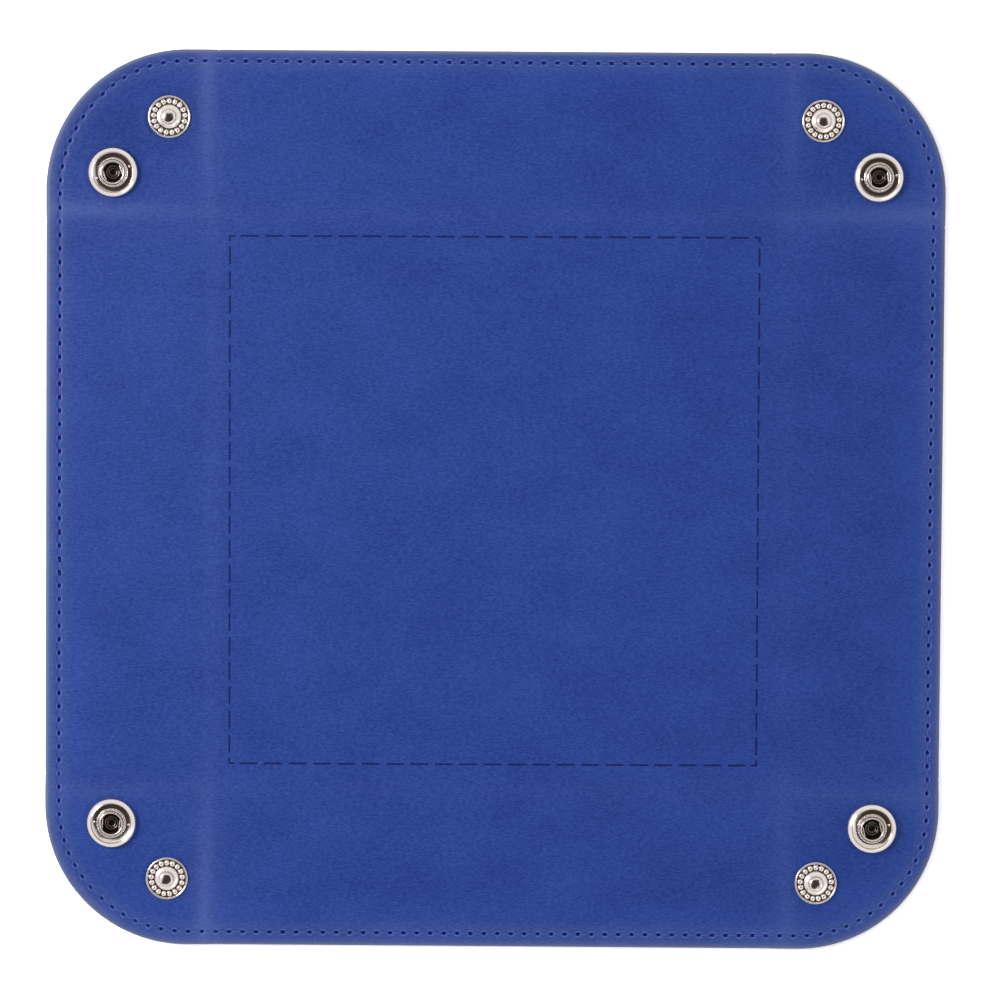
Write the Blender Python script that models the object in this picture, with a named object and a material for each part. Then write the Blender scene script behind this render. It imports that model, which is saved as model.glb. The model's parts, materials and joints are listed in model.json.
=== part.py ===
"""Folding dice tray, modelled as it lies open on a table.

Metres, +Z up, +X to the right, +Y to the back. The origin is under the middle of the tray, on the
surface that it lies on. The tray is one square sheet: a leather liner on top, a thin board, and a
leather backing. Each side folds up about a crease along the floor. At each corner a narrow strip on
the diagonal folds up from the floor's corner, and the two flaps beside it fold together until the
stud on one flap presses into the socket on the other.
"""

import math

import bmesh
import bpy
from mathutils import Matrix, Vector

# The sheet, from its outline inwards
TRAY_SIDE = 0.229
WALL_HEIGHT = 0.041
CORNER_RADIUS = 0.036
LINER_THICKNESS = 0.001
BOARD_THICKNESS = 0.0008
BACKING_THICKNESS = 0.001
GLUE_LINE = 0.0001
BOARD_SET_BACK = 0.0004

# The folds: panels meet a crease with a small gap, and the seams between a wall and a flap are open
CREASE_GAP = 0.0003
SEAM_GAP = 0.0004
SEAM_TAPER = math.radians(0.9)
SEAM_BEVEL = math.radians(23)

# Where the snaps sit on their flaps, and how they sit on the leather. A corner's stud and socket stand
# the spacing apart along each side, mirrored about the diagonal.
SNAP_FROM_CREASE = 0.0096
SNAP_SPACING = 0.0142
SEAT_GAP = 0.0001
POST_CLEARANCE = 0.00015
MATING_CLEARANCE = 0.00015
LIP_CLEARANCE = 0.0001

# The socket, with the cap whose post holds it
SOCKET_RADIUS = 0.00635
SOCKET_FOOT_INSET = 0.0003
SOCKET_RIM_WIDTH = 0.0013
SOCKET_RIM_HEIGHT = 0.0021
SOCKET_PAN_HEIGHT = 0.0012
COLLAR_RADIUS = 0.0037
COLLAR_HEIGHT = 0.003
COLLAR_FILLET = 0.0005
SOCKET_BORE_RADIUS = 0.00245
BORE_CHAMFER = 0.0002
SOCKET_FLOOR_THICKNESS = 0.0004
CAP_RADIUS = 0.00625
CAP_EDGE_ROUND = 0.0004
POST_RADIUS = 0.0016
POST_WALL = 0.0004
POST_LIP_WIDTH = 0.0006
POST_LIP_THICKNESS = 0.0003

# The pair of spring wires in the socket, bent from one hairpin of wire
SPRING_WIRE_RADIUS = 0.00025
SPRING_OPENING = 0.004
SPRING_LEG = 0.0017
SPRING_BEND_SET_BACK = 0.0006
SPRING_HEIGHT = 0.002
SPRING_CLEARANCE = 0.00015
SPRING_END_CLEARANCE = 0.0002

# The stud, with the eyelet that holds it
STUD_RADIUS = 0.0054
STUD_RIM_WIDTH = 0.0005
STUD_RIM_HEIGHT = 0.00065
STUD_PAN_HEIGHT = 0.00035
BEAD_RING_RADIUS = 0.004
BEAD_DIAMETER = 0.00115
BEAD_TOP_HEIGHT = 0.00085
BEAD_VALLEY_HEIGHT = 0.0005
STUD_STEP_RADIUS = 0.00295
STUD_STEP_HEIGHT = 0.00075
STUD_STEP_CHAMFER = 0.0003
NECK_RADIUS = 0.0016
NECK_HEIGHT = 0.0019
HEAD_RADIUS = 0.0018
HEAD_BULGE_HEIGHT = 0.0024
HEAD_HEIGHT = 0.0028
HEAD_CHAMFER = 0.00025
EYELET_RADIUS = 0.005
EYELET_EDGE_ROUND = 0.0003
EYELET_TUBE_RADIUS = 0.00125
EYELET_BORE_RADIUS = 0.00095
EYELET_LIP_RADIUS = 0.00155
EYELET_LIP_THICKNESS = 0.0002

# Facets
CORNER_STEPS = 12
SOCKET_STEPS = 24
RIVET_STEPS = 20
RIM_ARC_STEPS = 4
FILLET_STEPS = 2
BEAD_COUNT = 17
STEPS_PER_BEAD = 2
SPRING_BEND_STEPS = 8
SHARP_ANGLE = math.radians(40)
MERGE_DISTANCE = 0.000001
CUT_OVERRUN = 0.002

# Worked out from the values above
SHEET_TOP = BACKING_THICKNESS + GLUE_LINE + BOARD_THICKNESS + GLUE_LINE + LINER_THICKNESS
LINER_UNDERSIDE = SHEET_TOP - LINER_THICKNESS
FLAP_UNDERSIDE = LINER_UNDERSIDE - GLUE_LINE - BACKING_THICKNESS
HALF_SIDE = TRAY_SIDE / 2
CREASE = HALF_SIDE - WALL_HEIGHT
SNAP_BASE = SHEET_TOP + SEAT_GAP
RIVET_FACE = FLAP_UNDERSIDE - SEAT_GAP
POST_BORE_RADIUS = POST_RADIUS + POST_CLEARANCE
STUD_BORE_RADIUS = EYELET_TUBE_RADIUS + POST_CLEARANCE
SPRING_REACH = math.hypot(SPRING_OPENING / 2 + SPRING_WIRE_RADIUS, SPRING_LEG) + SPRING_WIRE_RADIUS
GROOVE_RADIUS = SPRING_REACH + SPRING_END_CLEARANCE

# The closed ear's inner faces stand as far apart as the mated snap is high, and the strip on the
# diagonal is as wide as that. Along a crease, the strip's edge starts a strip run from the crossing.
EAR_GAP = COLLAR_HEIGHT + BEAD_TOP_HEIGHT + 2 * SEAT_GAP + MATING_CLEARANCE
STRIP_RUN = EAR_GAP / math.sqrt(2)

UP = Vector((0, 0, 1))
BACK = Vector((0, 1, 0))
RIGHT = Vector((1, 0, 0))
SIDES = {"left": -RIGHT, "right": RIGHT, "front": -BACK, "back": BACK}
CORNERS = [("back", "left"), ("back", "right"), ("front", "left"), ("front", "right")]


def clear_scene():
    """Remove every object that the file opens with."""
    for item in list(bpy.data.objects):
        bpy.data.objects.remove(item, do_unlink=True)


def make_material(name, colour, roughness, metallic):
    """A Principled material of one colour."""
    material = bpy.data.materials.new(name)
    material.use_nodes = True
    shader = material.node_tree.nodes["Principled BSDF"]
    shader.inputs["Base Color"].default_value = (*colour, 1)
    shader.inputs["Roughness"].default_value = roughness
    shader.inputs["Metallic"].default_value = metallic
    return material


def make_pivot(name, place, parent=None):
    """An empty at a body's joint, under the body that carries it."""
    pivot = bpy.data.objects.new(name, None)
    bpy.context.collection.objects.link(pivot)
    pivot.parent = parent
    pivot.location = place - (world_place(parent) if parent else Vector())
    return pivot


def world_place(pivot):
    """Where an empty stands, through the empties above it."""
    place = pivot.location.copy()
    while pivot.parent:
        pivot = pivot.parent
        place += pivot.location
    return place


def add_object(name, mesh, material, pivot, place=None):
    """An object under a pivot. Its mesh is moved to the pivot's frame, unless it has a place of its own."""
    if place is None:
        mesh.transform(Matrix.Translation(-world_place(pivot)))
    if not mesh.materials:
        mesh.materials.append(material)
    piece = bpy.data.objects.new(name, mesh)
    bpy.context.collection.objects.link(piece)
    piece.parent = pivot
    piece.location = Vector() if place is None else place - world_place(pivot)
    return piece


def mesh_from(bm, name):
    """Turn a closed bmesh into a mesh with its faces pointing out."""
    bmesh.ops.recalc_face_normals(bm, faces=bm.faces[:])
    mesh = bpy.data.meshes.new(name)
    bm.to_mesh(mesh)
    bm.free()
    return mesh


def arc(centre, radius, start, turn, steps):
    """Points on an arc in a plane, from the start angle through the turn, both in radians."""
    angles = [start + turn * step / steps for step in range(steps + 1)]
    return [(centre[0] + radius * math.cos(a), centre[1] + radius * math.sin(a)) for a in angles]


# Leather and board panels


def rounded_square(set_back):
    """The tray's outline, drawn in by the set back."""
    radius = CORNER_RADIUS - set_back
    middle = HALF_SIDE - CORNER_RADIUS
    quarter = math.pi / 2
    points = []
    for turn, (x, y) in enumerate([(1, 1), (-1, 1), (-1, -1), (1, -1)]):
        points += arc((x * middle, y * middle), radius, turn * quarter, quarter, CORNER_STEPS)
    return points


def trim(bm, point, normal):
    """Cut a convex solid with a plane, drop what lies on the normal's side, and close the cut."""
    whole = bm.verts[:] + bm.edges[:] + bm.faces[:]
    cut = bmesh.ops.bisect_plane(
        bm, geom=whole, dist=MERGE_DISTANCE, plane_co=point, plane_no=normal, clear_outer=True
    )
    rim = [item for item in cut["geom_cut"] if isinstance(item, bmesh.types.BMEdge)]
    bmesh.ops.edgenet_fill(bm, edges=rim)


def panel_mesh(name, bottom, top, cuts, set_back=0):
    """One layer of a panel: the sheet's outline between two heights, trimmed by the panel's cuts."""
    bm = bmesh.new()
    outline = bm.faces.new([bm.verts.new((x, y, bottom)) for x, y in rounded_square(set_back)])
    raised = bmesh.ops.extrude_face_region(bm, geom=[outline])["geom"]
    lifted = [item for item in raised if isinstance(item, bmesh.types.BMVert)]
    bmesh.ops.translate(bm, verts=lifted, vec=UP * (top - bottom))
    for point, normal in cuts:
        trim(bm, point - normal * set_back, normal)
    return mesh_from(bm, name)


def crease_cut(point, outward):
    """The plane where a panel stops short of a crease through the point."""
    return point - outward * (CREASE_GAP / 2), outward


def seam_cut(corner, along, outward):
    """The plane where a panel stops short of an open seam.

    The seam starts at a floor corner and runs along a direction. The panel draws back from it by
    the taper, and its edge leans back below by the bevel, so that the edges clear each other while
    the seam folds.
    """
    normal = outward * math.cos(SEAM_TAPER) + along * math.sin(SEAM_TAPER)
    normal = normal * math.cos(SEAM_BEVEL) - UP * math.sin(SEAM_BEVEL)
    return corner - outward * (SEAM_GAP / 2), normal


def add_panel(name, cuts, pivot, finishes, has_board):
    """The layers of one panel, from the liner down."""
    liner = panel_mesh(name, LINER_UNDERSIDE, SHEET_TOP, cuts)
    layers = [add_object(f"{name}_liner", liner, finishes["leather"], pivot)]
    underside = FLAP_UNDERSIDE
    if has_board:
        underside = 0
        board_bottom = BACKING_THICKNESS + GLUE_LINE
        board = panel_mesh(name, board_bottom, board_bottom + BOARD_THICKNESS, cuts, BOARD_SET_BACK)
        add_object(f"{name}_board", board, finishes["board"], pivot)
    backing = panel_mesh(name, underside, underside + BACKING_THICKNESS, cuts)
    layers.append(add_object(f"{name}_backing", backing, finishes["leather"], pivot))
    return layers


def punch(layers, centre, radius, name):
    """Punch a round hole for a post through a flap's two layers."""
    bm = bmesh.new()
    depth = SHEET_TOP - FLAP_UNDERSIDE + CUT_OVERRUN
    bmesh.ops.create_cone(
        bm, cap_ends=True, segments=RIVET_STEPS, radius1=radius, radius2=radius, depth=depth
    )
    cutter = bpy.data.objects.new(name, mesh_from(bm, name))
    bpy.context.collection.objects.link(cutter)
    cutter.location = (centre.x, centre.y, (SHEET_TOP + FLAP_UNDERSIDE) / 2)
    cutter.hide_render = True
    cutter.display_type = "WIRE"
    for layer in layers:
        hole = layer.modifiers.new("post_hole", "BOOLEAN")
        hole.operation = "DIFFERENCE"
        hole.object = cutter


# Snap parts


def lathe_mesh(name, profile, steps):
    """Turn a closed outline of radii and heights about Z, and shade it smooth."""
    bm = bmesh.new()
    ring = [bm.verts.new((radius, 0, height)) for radius, height in profile]
    edges = [bm.edges.new((a, b)) for a, b in zip(ring, ring[1:] + ring[:1]) if a.co.x + b.co.x > 0]
    bmesh.ops.spin(
        bm, geom=ring + edges, cent=Vector(), axis=UP, angle=2 * math.pi, steps=steps, use_merge=True
    )
    bmesh.ops.remove_doubles(bm, verts=bm.verts[:], dist=MERGE_DISTANCE)
    mesh = mesh_from(bm, name)
    mesh.shade_smooth()
    mesh.set_sharp_from_angle(angle=SHARP_ANGLE)
    return mesh


def socket_mesh():
    """The socket: a rolled rim, a pan, and a collar with the spring's groove round its bore."""
    rim_radius = SOCKET_RIM_WIDTH / 2
    rim_centre = (SOCKET_RADIUS - rim_radius, SOCKET_RIM_HEIGHT - rim_radius)
    fillet_centre = (COLLAR_RADIUS - COLLAR_FILLET, COLLAR_HEIGHT - COLLAR_FILLET)
    groove_half = SPRING_WIRE_RADIUS + SPRING_CLEARANCE
    profile = [
        (POST_BORE_RADIUS, 0),
        (SOCKET_RADIUS - SOCKET_FOOT_INSET, 0),
        *arc(rim_centre, rim_radius, 0, math.pi, RIM_ARC_STEPS),
        (SOCKET_RADIUS - SOCKET_RIM_WIDTH, SOCKET_PAN_HEIGHT),
        (COLLAR_RADIUS, SOCKET_PAN_HEIGHT),
        *arc(fillet_centre, COLLAR_FILLET, 0, math.pi / 2, FILLET_STEPS),
        (SOCKET_BORE_RADIUS + BORE_CHAMFER, COLLAR_HEIGHT),
        (SOCKET_BORE_RADIUS, COLLAR_HEIGHT - BORE_CHAMFER),
        (SOCKET_BORE_RADIUS, SPRING_HEIGHT + groove_half),
        (GROOVE_RADIUS, SPRING_HEIGHT + groove_half),
        (GROOVE_RADIUS, SPRING_HEIGHT - groove_half),
        (SOCKET_BORE_RADIUS, SPRING_HEIGHT - groove_half),
        (SOCKET_BORE_RADIUS, SOCKET_FLOOR_THICKNESS),
        (POST_BORE_RADIUS, SOCKET_FLOOR_THICKNESS),
    ]
    return lathe_mesh("socket", profile, SOCKET_STEPS)


def cap_rivet_mesh():
    """The cap under the leather, with its post up through the flap and flared inside the socket."""
    lip_bottom = SNAP_BASE + SOCKET_FLOOR_THICKNESS + LIP_CLEARANCE
    lip_top = lip_bottom + POST_LIP_THICKNESS
    inner_radius = POST_RADIUS - POST_WALL
    profile = [
        (0, 0),
        (CAP_RADIUS - CAP_EDGE_ROUND, 0),
        (CAP_RADIUS, CAP_EDGE_ROUND),
        (CAP_RADIUS, RIVET_FACE),
        (POST_RADIUS, RIVET_FACE),
        (POST_RADIUS, lip_bottom),
        (POST_RADIUS + POST_LIP_WIDTH, lip_bottom),
        (POST_RADIUS + POST_LIP_WIDTH, lip_top),
        (inner_radius, lip_top),
        (inner_radius, RIVET_FACE),
        (0, RIVET_FACE),
    ]
    return lathe_mesh("cap_rivet", profile, RIVET_STEPS)


def spring_route():
    """The hairpin's middle line: up one leg, round the bend, and down the other leg."""
    half = SPRING_OPENING / 2 + SPRING_WIRE_RADIUS
    bend = arc((0, SPRING_BEND_SET_BACK), half, 0, math.pi, SPRING_BEND_STEPS)
    return [(half, -SPRING_LEG), *bend, (-half, -SPRING_LEG)]


def add_spring(name, pivot, place, material):
    """A hairpin of round wire lying in the socket's groove."""
    route = spring_route()
    curve = bpy.data.curves.new(name, "CURVE")
    curve.dimensions = "3D"
    curve.bevel_depth = SPRING_WIRE_RADIUS
    curve.bevel_resolution = 1
    curve.use_fill_caps = True
    line = curve.splines.new("POLY")
    line.points.add(len(route) - 1)
    for point, (x, y) in zip(line.points, route):
        point.co = (x, y, SPRING_HEIGHT, 1)
    curve.materials.append(material)
    spring = bpy.data.objects.new(name, curve)
    bpy.context.collection.objects.link(spring)
    spring.parent = pivot
    spring.location = place - world_place(pivot)
    return spring


def stud_mesh():
    """The stud: a rim, a ring of beads, a stepped post, and a head that bulges over its neck."""
    bead_radius = BEAD_DIAMETER / 2
    profile = [
        (STUD_BORE_RADIUS, 0),
        (STUD_RADIUS, 0),
        (STUD_RADIUS, STUD_PAN_HEIGHT),
        (STUD_RADIUS - STUD_RIM_WIDTH / 2, STUD_RIM_HEIGHT),
        (STUD_RADIUS - STUD_RIM_WIDTH, STUD_PAN_HEIGHT),
        (BEAD_RING_RADIUS + bead_radius, STUD_PAN_HEIGHT),
        (BEAD_RING_RADIUS, BEAD_TOP_HEIGHT),
        (BEAD_RING_RADIUS - bead_radius, STUD_PAN_HEIGHT),
        (STUD_STEP_RADIUS, STUD_PAN_HEIGHT),
        (STUD_STEP_RADIUS, STUD_STEP_HEIGHT - STUD_STEP_CHAMFER),
        (STUD_STEP_RADIUS - STUD_STEP_CHAMFER, STUD_STEP_HEIGHT),
        (NECK_RADIUS, NECK_HEIGHT),
        (HEAD_RADIUS, HEAD_BULGE_HEIGHT),
        (HEAD_RADIUS, HEAD_HEIGHT - HEAD_CHAMFER),
        (HEAD_RADIUS - HEAD_CHAMFER, HEAD_HEIGHT),
        (STUD_BORE_RADIUS, HEAD_HEIGHT),
    ]
    mesh = lathe_mesh("stud", profile, BEAD_COUNT * STEPS_PER_BEAD)
    part_beads(mesh)
    return mesh


def part_beads(mesh):
    """Sink the bead ring's crest between one bead and the next."""
    for vertex in mesh.vertices:
        radius = math.hypot(vertex.co.x, vertex.co.y)
        if abs(radius - BEAD_RING_RADIUS) < MERGE_DISTANCE:
            turn = math.atan2(vertex.co.y, vertex.co.x) * BEAD_COUNT
            crest_share = (1 + math.cos(turn)) / 2
            vertex.co.z = BEAD_VALLEY_HEIGHT + (BEAD_TOP_HEIGHT - BEAD_VALLEY_HEIGHT) * crest_share


def eyelet_mesh():
    """The eyelet: a flange under the leather and a tube whose end is rolled over the stud's head."""
    lip_bottom = SNAP_BASE + HEAD_HEIGHT + LIP_CLEARANCE
    lip_top = lip_bottom + EYELET_LIP_THICKNESS
    profile = [
        (EYELET_BORE_RADIUS, 0),
        (EYELET_RADIUS - EYELET_EDGE_ROUND, 0),
        (EYELET_RADIUS, EYELET_EDGE_ROUND),
        (EYELET_RADIUS, RIVET_FACE),
        (EYELET_TUBE_RADIUS, RIVET_FACE),
        (EYELET_TUBE_RADIUS, lip_bottom),
        (EYELET_LIP_RADIUS, lip_bottom),
        (EYELET_LIP_RADIUS, lip_bottom + EYELET_LIP_THICKNESS / 2),
        (EYELET_TUBE_RADIUS, lip_top),
        (EYELET_BORE_RADIUS, lip_top),
    ]
    return lathe_mesh("eyelet", profile, RIVET_STEPS)


# The tray's bodies


def add_floor(finishes):
    """The floor panel: a square whose corners are cut off where the diagonal strips start."""
    floor = make_pivot("floor", Vector())
    cuts = [crease_cut(outward * CREASE, outward) for outward in SIDES.values()]
    for end, side in CORNERS:
        outward = (SIDES[end] + SIDES[side]).normalized()
        cuts.append(crease_cut(strip_foot(end, side), outward))
    add_panel("floor", cuts, floor, finishes, has_board=True)
    return floor


def strip_foot(end, side):
    """The middle of the cut across a floor corner, at the height of the creases."""
    return (SIDES[end] + SIDES[side]) * (CREASE - STRIP_RUN / 2) + UP * SHEET_TOP


def floor_corner(on, beside):
    """The floor corner where a strip's edge meets the crease along one side."""
    return SIDES[on] * CREASE + SIDES[beside] * (CREASE - STRIP_RUN) + UP * SHEET_TOP


def add_wall(side, floor, finishes):
    """A wall panel, which folds up about its crease."""
    outward = SIDES[side]
    pivot = make_pivot(f"wall_{side}", outward * CREASE + UP * SHEET_TOP, floor)
    cuts = [crease_cut(outward * CREASE, -outward)]
    for end in ("left", "right") if side in ("front", "back") else ("front", "back"):
        cuts.append(seam_cut(floor_corner(side, end), outward, SIDES[end]))
    add_panel(f"wall_{side}", cuts, pivot, finishes, has_board=True)


def add_corner_strip(end, side, floor, finishes):
    """The strip on a corner's diagonal, which folds up from the floor's cut corner."""
    outward = (SIDES[end] + SIDES[side]).normalized()
    across = (SIDES[end] - SIDES[side]).normalized()
    foot = strip_foot(end, side)
    name = f"corner_fold_{end}_{side}"
    pivot = make_pivot(name, foot, floor)
    cuts = [crease_cut(foot, -outward)]
    for direction in (across, -across):
        cuts.append(crease_cut(foot + direction * (EAR_GAP / 2), direction))
    mesh = panel_mesh(name, FLAP_UNDERSIDE, SHEET_TOP, cuts)
    add_object(name + "_strip", mesh, finishes["leather"], pivot)
    return pivot


def add_flap(kind, on, beside, strip, finishes):
    """A corner flap, between its seam with the wall on one side and the strip on the diagonal."""
    name = f"{kind}_flap_{corner_label(on, beside)}"
    corner = floor_corner(on, beside)
    to_flap = (SIDES[on] - SIDES[beside]).normalized()
    pivot = make_pivot(name, corner, strip)
    cuts = [crease_cut(corner, -to_flap), seam_cut(corner, SIDES[on], -SIDES[beside])]
    layers = add_panel(name, cuts, pivot, finishes, has_board=False)
    return pivot, layers


def corner_label(on, beside):
    """A corner's name, with the front or back named first."""
    end, side = (on, beside) if on in ("front", "back") else (beside, on)
    return f"{end}_{side}"


def snap_centre(on, beside):
    """Where a flap's snap stands: a little past one crease, and the spacing further past the other."""
    near = CREASE + SNAP_FROM_CREASE
    return SIDES[on] * (near + SNAP_SPACING) + SIDES[beside] * near


def add_stud_snap(end, side, strip, finishes, meshes):
    """The flap on the front or back side, with its stud and eyelet."""
    pivot, layers = add_flap("stud", end, side, strip, finishes)
    label = corner_label(end, side)
    centre = snap_centre(end, side)
    punch(layers, centre, STUD_BORE_RADIUS, f"stud_hole_{label}")
    add_object(f"stud_{label}", meshes["stud"], finishes["nickel"], pivot, centre + UP * SNAP_BASE)
    add_object(f"eyelet_{label}", meshes["eyelet"], finishes["nickel"], pivot, centre)


def add_socket_snap(end, side, strip, finishes, meshes):
    """The flap on the left or right side, with its socket, spring and cap."""
    pivot, layers = add_flap("socket", side, end, strip, finishes)
    label = corner_label(end, side)
    centre = snap_centre(side, end)
    seat = centre + UP * SNAP_BASE
    punch(layers, centre, POST_BORE_RADIUS, f"socket_hole_{label}")
    add_object(f"socket_{label}", meshes["socket"], finishes["nickel"], pivot, seat)
    add_object(f"cap_rivet_{label}", meshes["cap_rivet"], finishes["nickel"], pivot, centre)
    add_spring(f"socket_spring_{label}", pivot, seat, finishes["spring"])


def build_tray():
    """Build the whole tray, one body after another."""
    clear_scene()
    finishes = {
        "leather": make_material("blue_leather", (0.03, 0.065, 0.283), 0.45, 0),
        "board": make_material("grey_board", (0.24, 0.21, 0.18), 0.9, 0),
        "nickel": make_material("nickel_plate", (0.66, 0.65, 0.62), 0.25, 1),
        "spring": make_material("spring_wire", (0.72, 0.7, 0.66), 0.3, 1),
    }
    meshes = {
        "stud": stud_mesh(),
        "eyelet": eyelet_mesh(),
        "socket": socket_mesh(),
        "cap_rivet": cap_rivet_mesh(),
    }
    floor = add_floor(finishes)
    for side in SIDES:
        add_wall(side, floor, finishes)
    for end, side in CORNERS:
        strip = add_corner_strip(end, side, floor, finishes)
        add_stud_snap(end, side, strip, finishes, meshes)
        add_socket_snap(end, side, strip, finishes, meshes)


build_tray()
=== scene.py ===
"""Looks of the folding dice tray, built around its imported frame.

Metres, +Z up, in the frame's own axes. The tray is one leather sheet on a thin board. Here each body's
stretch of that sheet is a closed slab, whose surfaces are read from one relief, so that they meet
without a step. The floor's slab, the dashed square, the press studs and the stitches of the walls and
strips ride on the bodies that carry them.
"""

import json
import logging
import math
from collections.abc import Callable, Sequence
from dataclasses import dataclass, field
from enum import Enum
from functools import partial

import bmesh
import bpy
import numpy as np
from mathutils import Matrix, Vector


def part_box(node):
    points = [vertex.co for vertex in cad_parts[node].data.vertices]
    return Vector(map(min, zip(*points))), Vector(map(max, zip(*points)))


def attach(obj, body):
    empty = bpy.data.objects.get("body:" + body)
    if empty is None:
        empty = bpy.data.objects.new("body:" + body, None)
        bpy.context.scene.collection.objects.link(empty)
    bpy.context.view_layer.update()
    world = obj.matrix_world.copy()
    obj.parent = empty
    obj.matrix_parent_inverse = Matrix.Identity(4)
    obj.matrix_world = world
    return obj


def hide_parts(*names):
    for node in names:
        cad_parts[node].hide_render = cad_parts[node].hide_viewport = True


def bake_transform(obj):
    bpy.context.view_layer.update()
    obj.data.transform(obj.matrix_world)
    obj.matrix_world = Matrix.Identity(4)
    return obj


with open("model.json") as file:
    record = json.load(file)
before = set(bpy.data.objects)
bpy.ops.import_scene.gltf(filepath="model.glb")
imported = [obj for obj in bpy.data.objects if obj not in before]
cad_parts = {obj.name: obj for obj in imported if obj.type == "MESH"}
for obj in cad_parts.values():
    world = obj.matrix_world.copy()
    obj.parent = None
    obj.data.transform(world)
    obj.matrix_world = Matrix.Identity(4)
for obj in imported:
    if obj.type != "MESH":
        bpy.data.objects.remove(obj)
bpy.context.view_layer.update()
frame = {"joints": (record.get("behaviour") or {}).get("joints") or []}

MM = 0.001
UP = Vector((0, 0, 1))
LAYERS = ("liner", "board", "backing")
PLACE_ATTRIBUTE = "sheet_place"
EDGE_ATTRIBUTE = "edge_place"
# Vertex attribute that holds how much painted shade darkens the nickel in its recesses
RECESS_SHADE_ATTRIBUTE = "recess"
RUN_ATTRIBUTE = "run"
MERGE_DISTANCE = 1e-7
TOLERANCE = 0.1 * MM

# Two coordinates of a row of points, and three numbers: a colour, a place or a size along each axis
Row = tuple[np.ndarray, np.ndarray]
Triple = tuple[float, float, float]

log = logging.getLogger("dice_tray")


# Names of the tray's sides, corners and fold pieces


class Side(Enum):
    """The tray's sides, with the direction that each faces."""

    LEFT = (-1, 0)
    RIGHT = (1, 0)
    FRONT = (0, -1)
    BACK = (0, 1)

    @property
    def label(self) -> str:
        """The side's name as the frame writes it."""
        return self.name.lower()

    @property
    def outward(self) -> Vector:
        """The direction that the side faces."""
        return Vector((*self.value, 0))

    @property
    def sideways(self) -> Vector:
        """The direction along the side."""
        return self.outward.cross(UP)

    def reach(self, x: np.ndarray, y: np.ndarray) -> np.ndarray:
        """How far towards the side each point lies."""
        return x * self.value[0] + y * self.value[1]


class Corner(Enum):
    """The tray's corners, each with its front or back side and its left or right side."""

    BACK_LEFT = (Side.BACK, Side.LEFT)
    BACK_RIGHT = (Side.BACK, Side.RIGHT)
    FRONT_LEFT = (Side.FRONT, Side.LEFT)
    FRONT_RIGHT = (Side.FRONT, Side.RIGHT)

    @property
    def label(self) -> str:
        """The corner's name as the frame writes it."""
        return self.name.lower()

    @property
    def outward(self) -> Vector:
        """The direction of the corner's diagonal."""
        return (self.value[0].outward + self.value[1].outward).normalized()


class Flap(Enum):
    """The two flaps of a corner: the stud's on the front or back side, the socket's on the other."""

    STUD = 0
    SOCKET = 1

    def directions(self, corner: Corner) -> tuple[Vector, Vector]:
        """The directions of the side that the flap lies on and of the side beside it."""
        on, beside = corner.value if self is Flap.STUD else reversed(corner.value)
        return on.outward, beside.outward

    def label(self, corner: Corner) -> str:
        """The flap's body as the frame names it."""
        return f"{self.name.lower()}_flap_{corner.label}"


# The sheet in plan and in relief


def nearest_multiple(value: np.ndarray, step: float) -> np.ndarray:
    """Distance from each value to the nearest multiple of the step."""
    return np.abs((value + step / 2) % step - step / 2)


def bell(value: np.ndarray, width: float) -> np.ndarray:
    """A smooth bump of height 1 at zero, which fades over the width."""
    return np.exp(-((value / width) ** 2))


def ramp(value: np.ndarray, start: float, end: float) -> np.ndarray:
    """A smooth rise from 0 at the start to 1 at the end."""
    share = np.clip((value - start) / (end - start), 0, 1)
    return share * share * (3 - 2 * share)


def spread(first: Vector, out: np.ndarray | float, second: Vector, along: np.ndarray | float) -> Row:
    """X and y of the points that lie so far along each of two directions."""
    return first.x * out + second.x * along, first.y * out + second.y * along


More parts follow.
